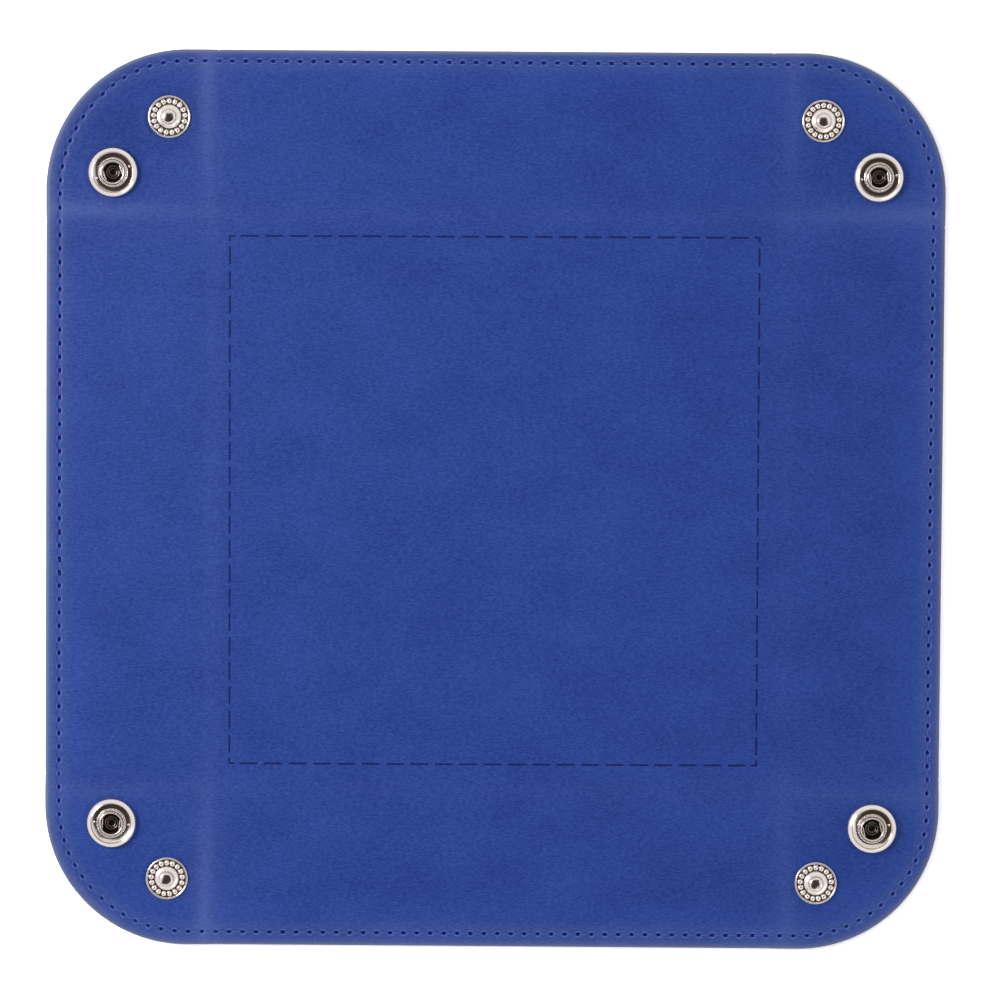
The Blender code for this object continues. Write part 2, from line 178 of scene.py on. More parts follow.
@dataclass(frozen=True)
class SheetPlan:
    """The sheet's outline and fold lines in plan, with its heights.

    Attributes:
        half_side: From the middle to a side.
        crease: From the middle to a wall's crease.
        seam: From the middle of a side to the seam at the end of its wall.
        top: Height of the sheet's upper face, where the creases turn.
        flap_underside: Height of the flaps' lower face.
        corner_radius: Radius of the outline's corners.
        bend: Width of leather that turns with a fold.
    """

    half_side: float
    crease: float
    seam: float
    top: float
    flap_underside: float
    corner_radius: float = 36 * MM
    bend: float = 1.4 * MM

    @classmethod
    def from_frame(cls) -> "SheetPlan":
        """Read the plan from the frame's joints and nodes.

        Returns:
            The plan.
        """
        places = {joint["name"]: joint["pos_m"] for joint in frame["joints"]}
        crease, _, top = places["fold_wall_right"]
        seam = places["fold_stud_flap_back_right"][0]
        half_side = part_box("wall_right_liner")[1].x
        return cls(half_side, crease, seam, top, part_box("stud_flap_back_right_backing")[0].z)

    @property
    def arc_centre(self) -> float:
        """Where the corner's arc is centred, along each axis."""
        return self.half_side - self.corner_radius

    @property
    def strip_run(self) -> float:
        """From a crease's crossing with the next to the strip's edge, along the crease."""
        return self.crease - self.seam

    def inset(self, x: np.ndarray, y: np.ndarray) -> np.ndarray:
        """How far in from the outline the points lie.

        Args:
            x: X of the points.
            y: Y of the points.

        Returns:
            Distance to the outline, positive inside.
        """
        across = np.abs(x) - self.arc_centre
        up = np.abs(y) - self.arc_centre
        beyond = np.hypot(np.maximum(across, 0), np.maximum(up, 0))
        return self.corner_radius - beyond - np.minimum(np.maximum(across, up), 0)

    def into_corner(self, x: np.ndarray, y: np.ndarray) -> np.ndarray:
        """How far past the seam, into a corner's square, the points lie."""
        return np.minimum(np.abs(x), np.abs(y)) - self.seam

    def strip_angle(self, radius: float) -> float:
        """Angle at which an arc about the arc's centre meets the strip, from its straight end."""
        return math.acos(self.strip_run / (math.sqrt(2) * radius)) - math.pi / 4

    def flap_bend(self, corner: Corner, flap: Flap) -> tuple[Vector, Vector]:
        """Where a flap's bend off its strip starts and ends.

        Args:
            corner: The flap's corner.
            flap: The flap.

        Returns:
            A point on each of the bend's two edges.
        """
        on, beside = flap.directions(corner)
        start = on * self.crease + beside * self.seam
        return start, start + (on - beside).normalized() * self.bend


@dataclass(frozen=True)
class StitchLine:
    """The row of needle holes round the edge. A seam between two bodies always falls on a hole.

    Attributes:
        plan: The sheet that is sewn.
        inset: From the outline to the row.
        wall_count: Stitches along a wall.
        flap_count: Stitches along a flap.
        drift: How much further in the row was sewn on each side.
        drift_reach: Distances from the tray's middle between which the drift sets in.
        drift_inset: Insets between which it sets in.
    """

    plan: SheetPlan
    inset: float = 2.98 * MM
    wall_count: int = 41
    flap_count: int = 9
    drift: tuple[tuple[Side, float], ...] = (
        (Side.LEFT, 0.66 * MM),
        (Side.FRONT, 0.55 * MM),
        (Side.RIGHT, 0.17 * MM),
        (Side.BACK, -0.03 * MM),
    )
    drift_reach: tuple[float, float] = (88 * MM, 108 * MM)
    drift_inset: tuple[float, float] = (0.5 * MM, 2.2 * MM)

    @property
    def arc_radius(self) -> float:
        """Radius of the row round a corner."""
        return self.plan.corner_radius - self.inset

    @property
    def strip_start(self) -> float:
        """Distance along the row, from the middle of a side, to the strip's edge."""
        return self.plan.arc_centre + self.arc_radius * self.plan.strip_angle(self.arc_radius)

    @property
    def wall_pitch(self) -> float:
        """Length of a wall's stitch."""
        return 2 * self.plan.seam / self.wall_count

    @property
    def flap_pitch(self) -> float:
        """Length of a flap's stitch."""
        return (self.strip_start - self.plan.seam) / self.flap_count

    def across(self, x: np.ndarray, y: np.ndarray) -> np.ndarray:
        """How far in from the row each point lies.

        Args:
            x: X of the points.
            y: Y of the points.

        Returns:
            Distance from the row, positive inside.
        """
        inset = self.plan.inset(x, y)
        across = inset - self.inset
        for side, further in self.drift:
            share = further * ramp(side.reach(x, y), *self.drift_reach)
            across = across - share * ramp(inset, *self.drift_inset)
        return across

    def sewn(self, place: Vector) -> Vector:
        """A point of the undrifted row, moved in to where the row was really sewn.

        Args:
            place: A point of the undrifted row.

        Returns:
            The point that was sewn.
        """
        middle = self.plan.arc_centre
        towards = Vector([max(-middle, min(middle, part)) for part in place]) - place
        off = float(self.across(np.array([place.x]), np.array([place.y]))[0])
        return place - towards.normalized() * off

    def from_hole(self, x: np.ndarray, y: np.ndarray) -> np.ndarray:
        """Distance along the row from each point to the nearest needle hole.

        Args:
            x: X of the points.
            y: Y of the points.

        Returns:
            The distances.
        """
        low = np.minimum(np.abs(x), np.abs(y))
        high = np.maximum(np.abs(x), np.abs(y))
        centre = self.plan.arc_centre
        turned = centre + self.arc_radius * np.arctan2(low - centre, np.maximum(high - centre, MM))
        along = np.where(low > centre, turned, low)
        wall = nearest_multiple(along - self.plan.seam, self.wall_pitch)
        flap = nearest_multiple(along - self.plan.seam, self.flap_pitch)
        past_strip = along - self.strip_start
        return np.where(along <= self.plan.seam, wall, np.where(past_strip < 0, flap, past_strip))

    def wall_hole(self, index: int) -> tuple[float, float]:
        """A wall's needle hole: its distance sideways and outwards from the tray's middle."""
        return index * self.wall_pitch - self.plan.seam, self.plan.half_side - self.inset

    def flap_hole(self, index: int) -> tuple[float, float]:
        """A flap's needle hole, counted from its seam, on the back side's right half.

        Args:
            index: The hole, counted from the seam.

        Returns:
            Its distances sideways and outwards.
        """
        centre = self.plan.arc_centre
        along = self.plan.seam + index * self.flap_pitch
        if along <= centre:
            return along, self.plan.half_side - self.inset
        turn = (along - centre) / self.arc_radius
        return centre + self.arc_radius * math.sin(turn), centre + self.arc_radius * math.cos(turn)


@dataclass(frozen=True)
class Crease:
    """A pressed fold line across the sheet.

    Attributes:
        side: The side whose wall it folds.
        place: Its distance from the tray's middle, as it lies in the photograph.
        depth: How deep the leather is pressed.
        worn: How much lighter the leather is there, as a share.
    """

    side: Side
    place: float
    depth: float
    worn: float


CREASES = (
    Crease(Side.LEFT, 72.6 * MM, 0.07 * MM, 1.0),
    Crease(Side.RIGHT, 74.5 * MM, 0.04 * MM, 0.5),
    Crease(Side.BACK, 72.8 * MM, 0.07 * MM, 0.9),
    Crease(Side.FRONT, 74.0 * MM, 0.04 * MM, 0.45),
)


@dataclass(frozen=True)
class Relief:
    """The heights of the sheet's two faces over its plan.

    Attributes:
        plan: The sheet.
        row: Its stitching.
        snap_rings: Centre and radius of each press stud part that is pressed into the sheet.
        roll_width: How far in from the edge the upper face starts to roll down.
        roll_drop: How far it has come down at the edge.
        roll_power: How late it rolls down.
        groove_depth: Depth of the groove that the thread pulls into the leather.
        groove_width: Width of that groove.
        hole_depth: Depth of a needle hole.
        hole_length: Half a needle hole's length along the row.
        hole_width: Half its width.
        pillow: Height of the soft swelling on either side of the groove.
        pillow_place: From the row to the top of the swelling.
        pillow_width: Half the swelling's width.
        crease_width: Half the width of a pressed crease.
        crease_fade: From a seam, where a crease starts to be pressed and where it is at its deepest.
        ring_swell: Height of the leather pushed up round a press stud part.
        swell_place: From the part's edge to the top of that ring.
        swell_width: Half the ring's width.
        seam_width: Half the width of the level leather at a seam.
        wave: Height of the gentle unevenness of the walls and flaps.
        wave_rise: Width over which it sets in, outwards from the creases.
        under_slope: Width over which the lower face rises from a wall to a flap.
        under_groove: Depth of the lower thread's groove.
        under_groove_width: Width of that groove.
        under_hole: Depth of a needle hole in the lower face.
    """

    plan: SheetPlan
    row: StitchLine
    snap_rings: tuple[Triple, ...]
    roll_width: float = 1.2 * MM
    roll_drop: float = 0.26 * MM
    roll_power: float = 2.2
    groove_depth: float = 0.12 * MM
    groove_width: float = 0.34 * MM
    hole_depth: float = 0.55 * MM
    hole_length: float = 0.5 * MM
    hole_width: float = 0.36 * MM
    pillow: float = 0.03 * MM
    pillow_place: float = 1.1 * MM
    pillow_width: float = 0.6 * MM
    crease_width: float = 2.2 * MM
    crease_fade: tuple[float, float] = (1 * MM, 8 * MM)
    ring_swell: float = 0.1 * MM
    swell_place: float = 0.9 * MM
    swell_width: float = 0.8 * MM
    seam_width: float = 0.9 * MM
    wave: float = 0.05 * MM
    wave_rise: float = 12 * MM
    under_slope: float = 4 * MM
    under_groove: float = 0.42 * MM
    under_groove_width: float = 0.5 * MM
    under_hole: float = 0.3 * MM

    # Length and start of the waves along x, y and the two diagonals
    WAVES = ((17 * MM, 1.3), (23 * MM, -0.4), (11 * MM, 0.9), (15 * MM, 0.0))
    DIAGONAL_WAVES = 0.6

    def top(self, x: np.ndarray, y: np.ndarray) -> np.ndarray:
        """Height of the upper face.

        Args:
            x: X of the points.
            y: Y of the points.

        Returns:
            The heights.
        """
        inset = self.plan.inset(x, y)
        from_row = self.row.across(x, y)
        into_corner = self.plan.into_corner(x, y)
        off_seam = 1 - bell(into_corner, self.seam_width)
        height = np.full_like(x, self.plan.top)
        height -= self.roll_drop * np.clip(1 - inset / self.roll_width, 0, 1) ** self.roll_power
        pressed = self.groove_depth * bell(from_row, self.groove_width)
        pressed += self.hole_depth * self.needle_hole(x, y, from_row)
        height -= pressed * off_seam
        height += self.pillow * bell(np.abs(from_row) - self.pillow_place, self.pillow_width)
        between_corners = ramp(-into_corner, *self.crease_fade)
        for crease in CREASES:
            across = crease.side.reach(x, y) - crease.place
            height -= crease.depth * bell(across, self.crease_width) * between_corners
        for centre_x, centre_y, radius in self.snap_rings:
            away = np.hypot(x - centre_x, y - centre_y) - radius
            height += self.ring_swell * bell(away - self.swell_place, self.swell_width)
        return height + self.wave * self.unevenness(x, y) * off_seam

    def needle_hole(self, x: np.ndarray, y: np.ndarray, from_row: np.ndarray) -> np.ndarray:
        """How deep in a needle hole the points lie, as a share."""
        along = self.row.from_hole(x, y) / self.hole_length
        return np.exp(-((along**2 + (from_row / self.hole_width) ** 2) ** 1.5))

    def unevenness(self, x: np.ndarray, y: np.ndarray) -> np.ndarray:
        """A gentle waviness that fades out towards the floor.

        Args:
            x: X of the points.
            y: Y of the points.

        Returns:
            The waves' heights, as shares.
        """
        reach = np.maximum(np.abs(x), np.abs(y))
        share = ramp(reach, self.plan.crease, self.plan.crease + self.wave_rise)
        axes = zip((x, y, x + y, x - y), self.WAVES)
        turns = [part / length + start for part, (length, start) in axes]
        waves = np.sin(turns[0]) * np.cos(turns[1])
        waves = waves + self.DIAGONAL_WAVES * np.sin(turns[2]) * np.sin(turns[3])
        return share * waves

    def bottom(self, x: np.ndarray, y: np.ndarray) -> np.ndarray:
        """Height of the lower face.

        Args:
            x: X of the points.
            y: Y of the points.

        Returns:
            The heights.
        """
        from_row = self.row.across(x, y)
        height = self.plan.flap_underside * ramp(self.plan.into_corner(x, y), 0, self.under_slope)
        height = height + self.under_groove * bell(from_row, self.under_groove_width)
        return height + self.under_hole * self.needle_hole(x, y, from_row)


# Shader and geometry node trees, written as Python expressions


class Wire:
    """A node's output that takes part in sums: each operator adds its Math node."""

    def __init__(self, tree: "NodeTree", socket: bpy.types.NodeSocket) -> None:
        """Wrap an output socket of the tree."""
        self.tree = tree
        self.socket = socket

    def math(self, operation: str, *values: "Wire | float") -> "Wire":
        """Add a Math node.

        Args:
            operation: The node's operation.
            *values: Its inputs, in order.

        Returns:
            The node's result.
        """
        settings = {"operation": operation}
        return self.tree.node("ShaderNodeMath", settings, dict(enumerate(values)))

    def __add__(self, other: "Wire | float") -> "Wire":
        """Sum."""
        return self.math("ADD", self, other)

    def __radd__(self, other: float) -> "Wire":
        """Sum with a number on the left."""
        return self.math("ADD", other, self)

    def __sub__(self, other: "Wire | float") -> "Wire":
        """Difference."""
        return self.math("SUBTRACT", self, other)

    def __rsub__(self, other: float) -> "Wire":
        """Difference from a number on the left."""
        return self.math("SUBTRACT", other, self)

    def __mul__(self, other: "Wire | float") -> "Wire":
        """Product."""
        return self.math("MULTIPLY", self, other)

    def __rmul__(self, other: float) -> "Wire":
        """Product with a number on the left."""
        return self.math("MULTIPLY", other, self)

    def __truediv__(self, other: "Wire | float") -> "Wire":
        """Quotient."""
        return self.math("DIVIDE", self, other)

    def __rtruediv__(self, other: float) -> "Wire":
        """Quotient of a number on the left."""
        return self.math("DIVIDE", other, self)

    def __pow__(self, other: "Wire | float") -> "Wire":
        """Power."""
        return self.math("POWER", self, other)

    def __rpow__(self, other: float) -> "Wire":
        """Power of a number on the left."""
        return self.math("POWER", other, self)

    def __abs__(self) -> "Wire":
        """Size without its sign."""
        return self.math("ABSOLUTE", self)

    def bell(self, width: float) -> "Wire":
        """A smooth bump of height 1 where the value is zero, which fades over the width."""
        return self.math("EXPONENT", (self / width) ** 2 * -1)

    def step(self, start: float, end: float) -> "Wire":
        """A smooth rise from 0 at the start to 1 at the end."""
        settings = {"interpolation_type": "SMOOTHSTEP"}
        return self.tree.node("ShaderNodeMapRange", settings, {"Value": self, 1: start, 2: end})

    def maximum(self, other: "Wire | float") -> "Wire":
        """The larger of two values."""
        return self.math("MAXIMUM", self, other)


class NodeTree:
    """A node tree with one method that adds any node to it."""

    def __init__(self, tree: bpy.types.NodeTree) -> None:
        """Wrap a node tree."""
        self.tree = tree

    def node(
        self,
        kind: str,
        settings: dict[str, object] | None = None,
        inputs: dict[str | int, object] | None = None,
        output: str | int = 0,
    ) -> Wire:
        """Add a node.

        Args:
            kind: The node's type.
            settings: Its properties, set first.
            inputs: Values or wires for its sockets, by name or by index.
            output: The output to return.

        Returns:
            That output.
        """
        item = self.tree.nodes.new(kind)
        for name, value in (settings or {}).items():
            setattr(item, name, value)
        for name, value in (inputs or {}).items():
            self.feed(pick(item.inputs, name), value)
        return Wire(self, pick(item.outputs, output))

    def feed(self, socket: bpy.types.NodeSocket, value: object) -> None:
        """Link a wire to a socket, or set its value.

        Args:
            socket: An input of a node.
            value: A wire, or the socket's own kind of value.
        """
        if isinstance(value, Wire):
            self.tree.links.new(value.socket, socket)
        else:
            socket.default_value = value

    def split(self, vector: Wire) -> tuple[Wire, Wire, Wire]:
        """A vector's three parts."""
        parts = self.node("ShaderNodeSeparateXYZ", None, {0: vector}).socket.node.outputs
        return Wire(self, parts[0]), Wire(self, parts[1]), Wire(self, parts[2])

    def mix(self, share: Wire, first: Wire | Triple, second: Wire | Triple) -> Wire:
        """A colour between two others.

        Args:
            share: 0 for the first and 1 for the second.
            first: A colour.
            second: A colour.

        Returns:
            The colour.
        """
        first, second = ((*c, 1) if isinstance(c, tuple) else c for c in (first, second))
        inputs = {"Factor": share, "A": first, "B": second}
        return self.node("ShaderNodeMix", {"data_type": "RGBA"}, inputs, "Result")

    def grey(self, level: Wire) -> Wire:
        """A grey of that brightness."""
        return self.node("ShaderNodeCombineColor", None, {0: level, 1: level, 2: level})


def pick(sockets: bpy.types.bpy_prop_collection, key: str | int) -> bpy.types.NodeSocket:
    """The socket in use with that name, or at that place.

    Args:
        sockets: A node's inputs or outputs.
        key: The socket's name or place.

    Returns:
        The socket.
    """
    if isinstance(key, int):
        return sockets[key]
    named = [socket for socket in sockets if socket.name == key]
    return next((socket for socket in named if socket.enabled), named[0])


class MaterialTree(NodeTree):
    """A Principled material's tree, with the textures that the finishes share."""

    def __init__(self, name: str) -> None:
        """Start a material with a Principled shader.

        Args:
            name: The material's name.
        """
        self.material = bpy.data.materials.new(name)
        self.material.use_nodes = True
        super().__init__(self.material.node_tree)
        self.shader = self.tree.nodes["Principled BSDF"]

    def set(self, name: str, value: Wire | float) -> None:
        """Set or link one of the shader's sockets."""
        self.feed(self.shader.inputs[name], value)

    def attribute(self, name: str) -> Wire:
        """A vector that is stored on the mesh."""
        return self.node("ShaderNodeAttribute", {"attribute_name": name}, output="Vector")

    def stretched(self, vector: Wire, size: Triple) -> Wire:
        """Coordinates that grow by 1 over so many millimetres along each axis."""
        scale = tuple(1 / (length * MM) for length in size)
        return self.node("ShaderNodeVectorMath", {"operation": "MULTIPLY"}, {0: vector, 1: scale})

    def noise(self, vector: Wire, size: Triple, detail: float) -> Wire:
        """Noise from 0 to 1.

        Args:
            vector: Where to read it.
            size: Its grain along each axis, in millimetres.
            detail: Finer octaves.

        Returns:
            The noise's value.
        """
        inputs = {"Vector": self.stretched(vector, size), "Scale": 1, "Detail": detail}
        return self.node("ShaderNodeTexNoise", None, inputs)

    def cells(self, vector: Wire, size: Triple) -> Wire:
        """Distance to the edges of a pattern of cells, whose size is given in millimetres."""
        inputs = {"Vector": self.stretched(vector, size), "Scale": 1}
        return self.node("ShaderNodeTexVoronoi", {"feature": "DISTANCE_TO_EDGE"}, inputs)

    def bump(self, height: Wire, distance: float, strength: float = 1) -> Wire:
        """A normal from a height of 0 to 1 that stands for the distance."""
        inputs = {"Height": height, "Distance": distance, "Strength": strength}
        return self.node("ShaderNodeBump", None, inputs)


# Finishes


def srgb(red: int, green: int, blue: int) -> Triple:
    """A linear colour from its 0 to 255 screen values."""
    shares = [value / 255 for value in (red, green, blue)]
    return tuple(s / 12.92 if s <= 0.04045 else ((s + 0.055) / 1.055) ** 2.4 for s in shares)


@dataclass(frozen=True)
class LeatherFinish:
    """Blue grained leather, lighter where it is creased, with a raw board showing at its cut edge.

    Attributes:
        dark: The leather in its darkest streaks.
        light: The leather in its lightest streaks.
        worn: The leather along a crease.
        dusty: The leather at its rim.
        raw: The board's cut edge.
        raw_shade: How much darker the edge is between its fibres.
        hole: Painted shade inside a needle hole.
        hole_highlight: Painted highlight on the pulled leather across a needle hole.
        roughness: Roughness of the leather.
        specular: Strength of its shine.
        streak_size: Grain of the streaks along each axis, in millimetres, like those below.
        mottle_size: Grain of the soft clouds.
        furrow_size: Grain of the uneven pull of the thread.
        fibre_size: Grain of the board's edge.
        grain_size: Grain of the leather's surface.
        wrinkle_size: Size of its wrinkles.
        corner_start: From the tray's middle, along an axis, where a corner's round starts to show.
        corner_end: Where it shows fully.
    """

    dark: Triple = srgb(20, 48, 124)
    light: Triple = srgb(50, 79, 161)
    worn: Triple = srgb(96, 111, 176)
    dusty: Triple = srgb(100, 110, 145)
    raw: Triple = srgb(114, 125, 157)
    raw_shade: float = 0.8
    # Painted shade inside a needle hole, and a painted highlight on the leather beside it
    hole: Triple = srgb(0, 20, 108)
    hole_highlight: Triple = srgb(88, 114, 190)
    roughness: float = 0.42
    specular: float = 0.3
    streak_size: Triple = (0.95, 0.38, 1.1)
    mottle_size: Triple = (20, 13, 18)
    thread_shadow_size: Triple = (1.3, 1.3, 1.3)
    fibre_size: Triple = (0.5, 0.5, 0.12)
    grain_size: Triple = (0.7, 0.3, 0.5)
    wrinkle_size: Triple = (1.7, 0.9, 1.5)
    corner_start: float = 80 * MM
    corner_end: float = 95 * MM

    def build(self, row: StitchLine, relief: Relief) -> bpy.types.Material:
        """Build the material.

        Args:
            row: The stitching, whose holes are dark.
            relief: The sheet's relief, for the holes' size.

        Returns:
            The material.
        """
        tree = MaterialTree("blue_leather")
        place = tree.attribute(PLACE_ATTRIBUTE)
        along, across, raw_share = tree.split(tree.attribute(EDGE_ATTRIBUTE))
        inset = across + row.inset
        streaks = tree.noise(place, self.streak_size, 2)
        pull = tree.noise(place, self.thread_shadow_size, 1)
        colour = tree.mix(self.shade(tree, place, inset, streaks), self.dark, self.light)
        colour = tree.mix(self.crease_wear(tree, place, streaks), colour, self.worn)
        colour = tree.mix(self.dust(across, inset, streaks), colour, self.dusty)
        across, along = across + (pull - 0.5) * 0.3 * MM, along + (streaks - 0.5) * 0.3 * MM
        # Painted shadow of the thread along both sides of the row
        colour = tree.mix(self.thread_shadow(tree, place, across, along, pull), colour, self.dark)
        # Painted shade in the needle holes, with a painted highlight beside each
        colour = self.needle_holes(tree, place, across, along, relief, colour)
        fibres = tree.noise(place, self.fibre_size, 2)
        raw = tree.mix(fibres, tuple(self.raw_shade * part for part in self.raw), self.raw)
        tree.set("Base Color", tree.mix(raw_share, colour, raw))
        tree.set("Roughness", (streaks - 0.5) * 0.25 + self.roughness + raw_share * 0.3)
        tree.set("Specular IOR Level", self.specular)
        grain = tree.noise(place, self.grain_size, 3)
        wrinkles = tree.cells(place, self.wrinkle_size).step(0, 0.12)
        height = grain * 0.6 + wrinkles * 0.16 + streaks * 0.3
        tree.set("Normal", tree.bump(height, 0.09 * MM, 0.6))
        return tree.material

    def shade(self, tree: MaterialTree, place: Wire, inset: Wire, streaks: Wire) -> Wire:
        """How light the leather is: streaked, mottled, with painted light near the rim, and darker at
        the back left.

        Args:
            tree: The material's tree.
            place: Where each point lies at rest.
            inset: Its distance in from the outline.
            streaks: The leather's streaks.

        Returns:
            0 for dark and 1 for light.
        """
        x, y, _ = tree.split(place)
        mottle = tree.noise(place, self.mottle_size, 4)
        # Painted light: the leather grows lighter towards its rim
        painted_rim_light = inset.step(15 * MM, 5 * MM)
        back_left = (y - x).step(155 * MM, 205 * MM)
        shade = (streaks - 0.5) * 1.25 + (mottle - 0.5) * 0.58 + 0.42
        return shade + painted_rim_light * 0.12 - back_left * 0.36

    @staticmethod
    def crease_wear(tree: MaterialTree, place: Wire, streaks: Wire) -> Wire:
        """How worn the leather is along its creases, most in the corner squares.

        Args:
            tree: The material's tree.
            place: Where each point lies at rest.
            streaks: The leather's streaks.

        Returns:
            The wear, as a share.
        """
        x, y, _ = tree.split(place)
        total = None
        for crease in CREASES:
            across, along = (x, y) if crease.side.value[0] else (y, x)
            corner = abs(along).step(58 * MM, 110 * MM)
            away = across * sum(crease.side.value) - crease.place - corner * 0.9 * MM
            band = away.bell(2.2 * MM) + away.bell(6.5 * MM) * 0.35
            share = band * (corner * 0.21 + 0.04) * crease.worn
            total = share if total is None else total + share
        return total * (streaks * 0.8 + 0.6)

    @staticmethod
    def dust(across: Wire, inset: Wire, streaks: Wire) -> Wire:
        """How dusty the leather is: most at the rim, and a little just inside the stitches.

        Args:
            across: Distance in from the row of stitches.
            inset: Distance in from the outline.
            streaks: The leather's streaks.

        Returns:
            The dust, as a share.
        """
        rim = inset.bell(0.8 * MM) * 0.7 + inset.bell(1.8 * MM) * 0.3
        beside_stitches = (across - 1.1 * MM).bell(1.5 * MM)
        return (rim + beside_stitches * 0.12) * (streaks * 0.6 + 0.7)

    @staticmethod
    def thread_shadow(tree: MaterialTree, place: Wire, across: Wire, along: Wire, pull: Wire) -> Wire:
        """How dark the painted shadow beside the thread is: two lines that bow apart at each hole, most
        on the left.

        Args:
            tree: The material's tree.
            place: Where each point lies at rest.
            across: Its distance in from the row.
            along: Its distance along the row to a hole.
            pull: How unevenly the thread pulls.

        Returns:
            The darkness, as a share.
        """
        x, _, _ = tree.split(place)
        bowed = (abs(across) - along * 0.2 - 0.16 * MM).bell(0.14 * MM)
        left = (x * -1).step(104 * MM, 109 * MM)
        return bowed * pull.step(0.25, 0.55) * (left * 0.55 + 0.2)

    def needle_holes(
        self, tree: MaterialTree, place: Wire, across: Wire, along: Wire, relief: Relief, colour: Wire
    ) -> Wire:
        """Add the needle holes: painted shade inside, a painted highlight on the pulled leather across
        the row.

        Args:
            tree: The material's tree.
            place: Where each point lies at rest.
            across: Its distance in from the row.
            along: Its distance along the row to a hole.
            relief: The sheet's relief, for the holes' size.
            colour: The leather's colour.

        Returns:
            The colour with the holes.
        """
        x, y, _ = tree.split(place)
        sideways = (across / relief.hole_width) ** 2
        hole = (along / relief.hole_length) ** 2 + sideways
        # Painted highlight on the raised, pulled leather either side of each hole
        hole_highlight = (hole**0.5 - 1.75).bell(0.4) * (sideways / (hole + 0.01)) * 0.8
        corner = [abs(part).step(self.corner_start, self.corner_end) for part in (x, y)]
        # Painted shade inside each hole, a little less at the corners
        dark = (1 - hole.step(0.7, 2.2)) * (1 - corner[0] * corner[1] * 0.3)
        return tree.mix(dark, tree.mix(hole_highlight, colour, self.hole_highlight), self.hole)


@dataclass(frozen=True)
class ThreadFinish:
    """Sewing thread; the blue one is close to the leather's own colour."""

    name: str = "blue_thread"
    colour: Triple = srgb(76, 106, 190)
    shaded: Triple = srgb(30, 52, 124)
    specular: float = 0.5
    strand_size: Triple = (0.16, 0.16, 0.16)

    def build(self) -> bpy.types.Material:
        """Build the material.

        Returns:
            The material.
        """
        tree = MaterialTree(self.name)
        strands = tree.noise(tree.attribute(PLACE_ATTRIBUTE), self.strand_size, 1)
        tree.set("Base Color", tree.mix(strands, self.shaded, self.colour))
        tree.set("Roughness", strands * 0.2 + 0.5)
        tree.set("Specular IOR Level", self.specular)
        tree.set("Normal", tree.bump(strands, 0.05 * MM))
        return tree.material


@dataclass(frozen=True)
class InkFinish:
    """Dark blue ink pressed into the leather's grain."""

    colour: Triple = srgb(12, 20, 82)
    thin: Triple = srgb(24, 38, 104)
    specular: float = 0.15

    def build(self) -> bpy.types.Material:
        """Build the material.

        Returns:
            The material.
        """
        tree = MaterialTree("dark_blue_ink")
        grain = tree.noise(tree.attribute(PLACE_ATTRIBUTE), LeatherFinish.grain_size, 3)
        tree.set("Base Color", tree.mix(grain.step(0.35, 0.8), self.colour, self.thin))
        tree.set("Roughness", grain * 0.2 + 0.45)
        tree.set("Specular IOR Level", self.specular)
        tree.set("Normal", tree.bump(grain, 0.03 * MM))
        return tree.material


@dataclass(frozen=True)
class NickelFinish:
    """Bright nickel plate, with painted shade darkening it in its recesses."""

    name: str = "nickel_plate"
    colour: Triple = (0.79, 0.725, 0.685)
    # Colour of the painted shade in the recesses
    film: Triple = (0.1, 0.075, 0.065)
    roughness: float = 0.1
    film_size: Triple = (0.9, 0.9, 0.9)
    mark_size: Triple = (0.25, 0.25, 0.25)

    def build(self) -> bpy.types.Material:
        """Build the material.

        Returns:
            The material.
        """
        tree = MaterialTree(self.name)
        place = tree.node("ShaderNodeTexCoord", output="Object")
        # Painted shade: the colour darkens where the mesh marks a recess
        worn, _, _ = tree.split(tree.attribute(RECESS_SHADE_ATTRIBUTE))
        film = worn * (tree.noise(place, self.film_size, 3) * 0.5 + 0.65)
        marks = tree.noise(place, self.mark_size, 2)
        tree.set("Base Color", tree.mix(film.step(0.05, 1), self.colour, self.film))
        tree.set("Metallic", 1.0)
        tree.set("Roughness", marks * 0.08 + self.roughness + worn * 0.04)
        tree.set("Normal", tree.bump(marks, 0.002 * MM))
        return tree.material


# Meshes


def link(name: str, mesh: bpy.types.Mesh) -> bpy.types.Object:
    """An object at the origin that shows the mesh.

    Args:
        name: The object's name.
        mesh: Its mesh.

    Returns:
        The object.
    """
    piece = bpy.data.objects.new(name, mesh)
    bpy.context.scene.collection.objects.link(piece)
    return piece


def settle(piece: bpy.types.Object, slot: str, *nodes: str) -> bpy.types.Object:
    """Hide the nodes that a finished piece stands for, and report the piece.

    Args:
        piece: The piece.
        slot: Its slot; not used.
        *nodes: The nodes that it replaces, if any.

    Returns:
        The piece.
    """
    if nodes:
        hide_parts(*nodes)
    log.info("%s: %d faces", piece.name, len(piece.data.polygons))
    return piece


def store_vector(mesh: bpy.types.Mesh, name: str, values: np.ndarray) -> None:
    """Store a vector for each vertex."""
    attribute = mesh.attributes.new(name, "FLOAT_VECTOR", "POINT")
    attribute.data.foreach_set("vector", values.astype(np.float32).ravel())


def store_places(mesh: bpy.types.Mesh) -> None:
    """Store where each vertex lies at rest, so that patterns stay put when a fold moves it.

    Args:
        mesh: The mesh.
    """
    places = np.zeros(len(mesh.vertices) * 3, np.float32)
    mesh.vertices.foreach_get("co", places)
    store_vector(mesh, PLACE_ATTRIBUTE, places)


def signed_volume(points: np.ndarray, quads: np.ndarray) -> float:
    """Volume inside closed quads, negative if they face inwards.

    Args:
        points: Places of the vertices.
        quads: Four vertices for each face.

    Returns:
        The volume.
    """
    a, b, c, d = (points[quads[:, index]] for index in range(4))
    halves = np.einsum("ij,ij->i", a, np.cross(b, c)) + np.einsum("ij,ij->i", a, np.cross(c, d))
    return float(halves.sum() / 6)


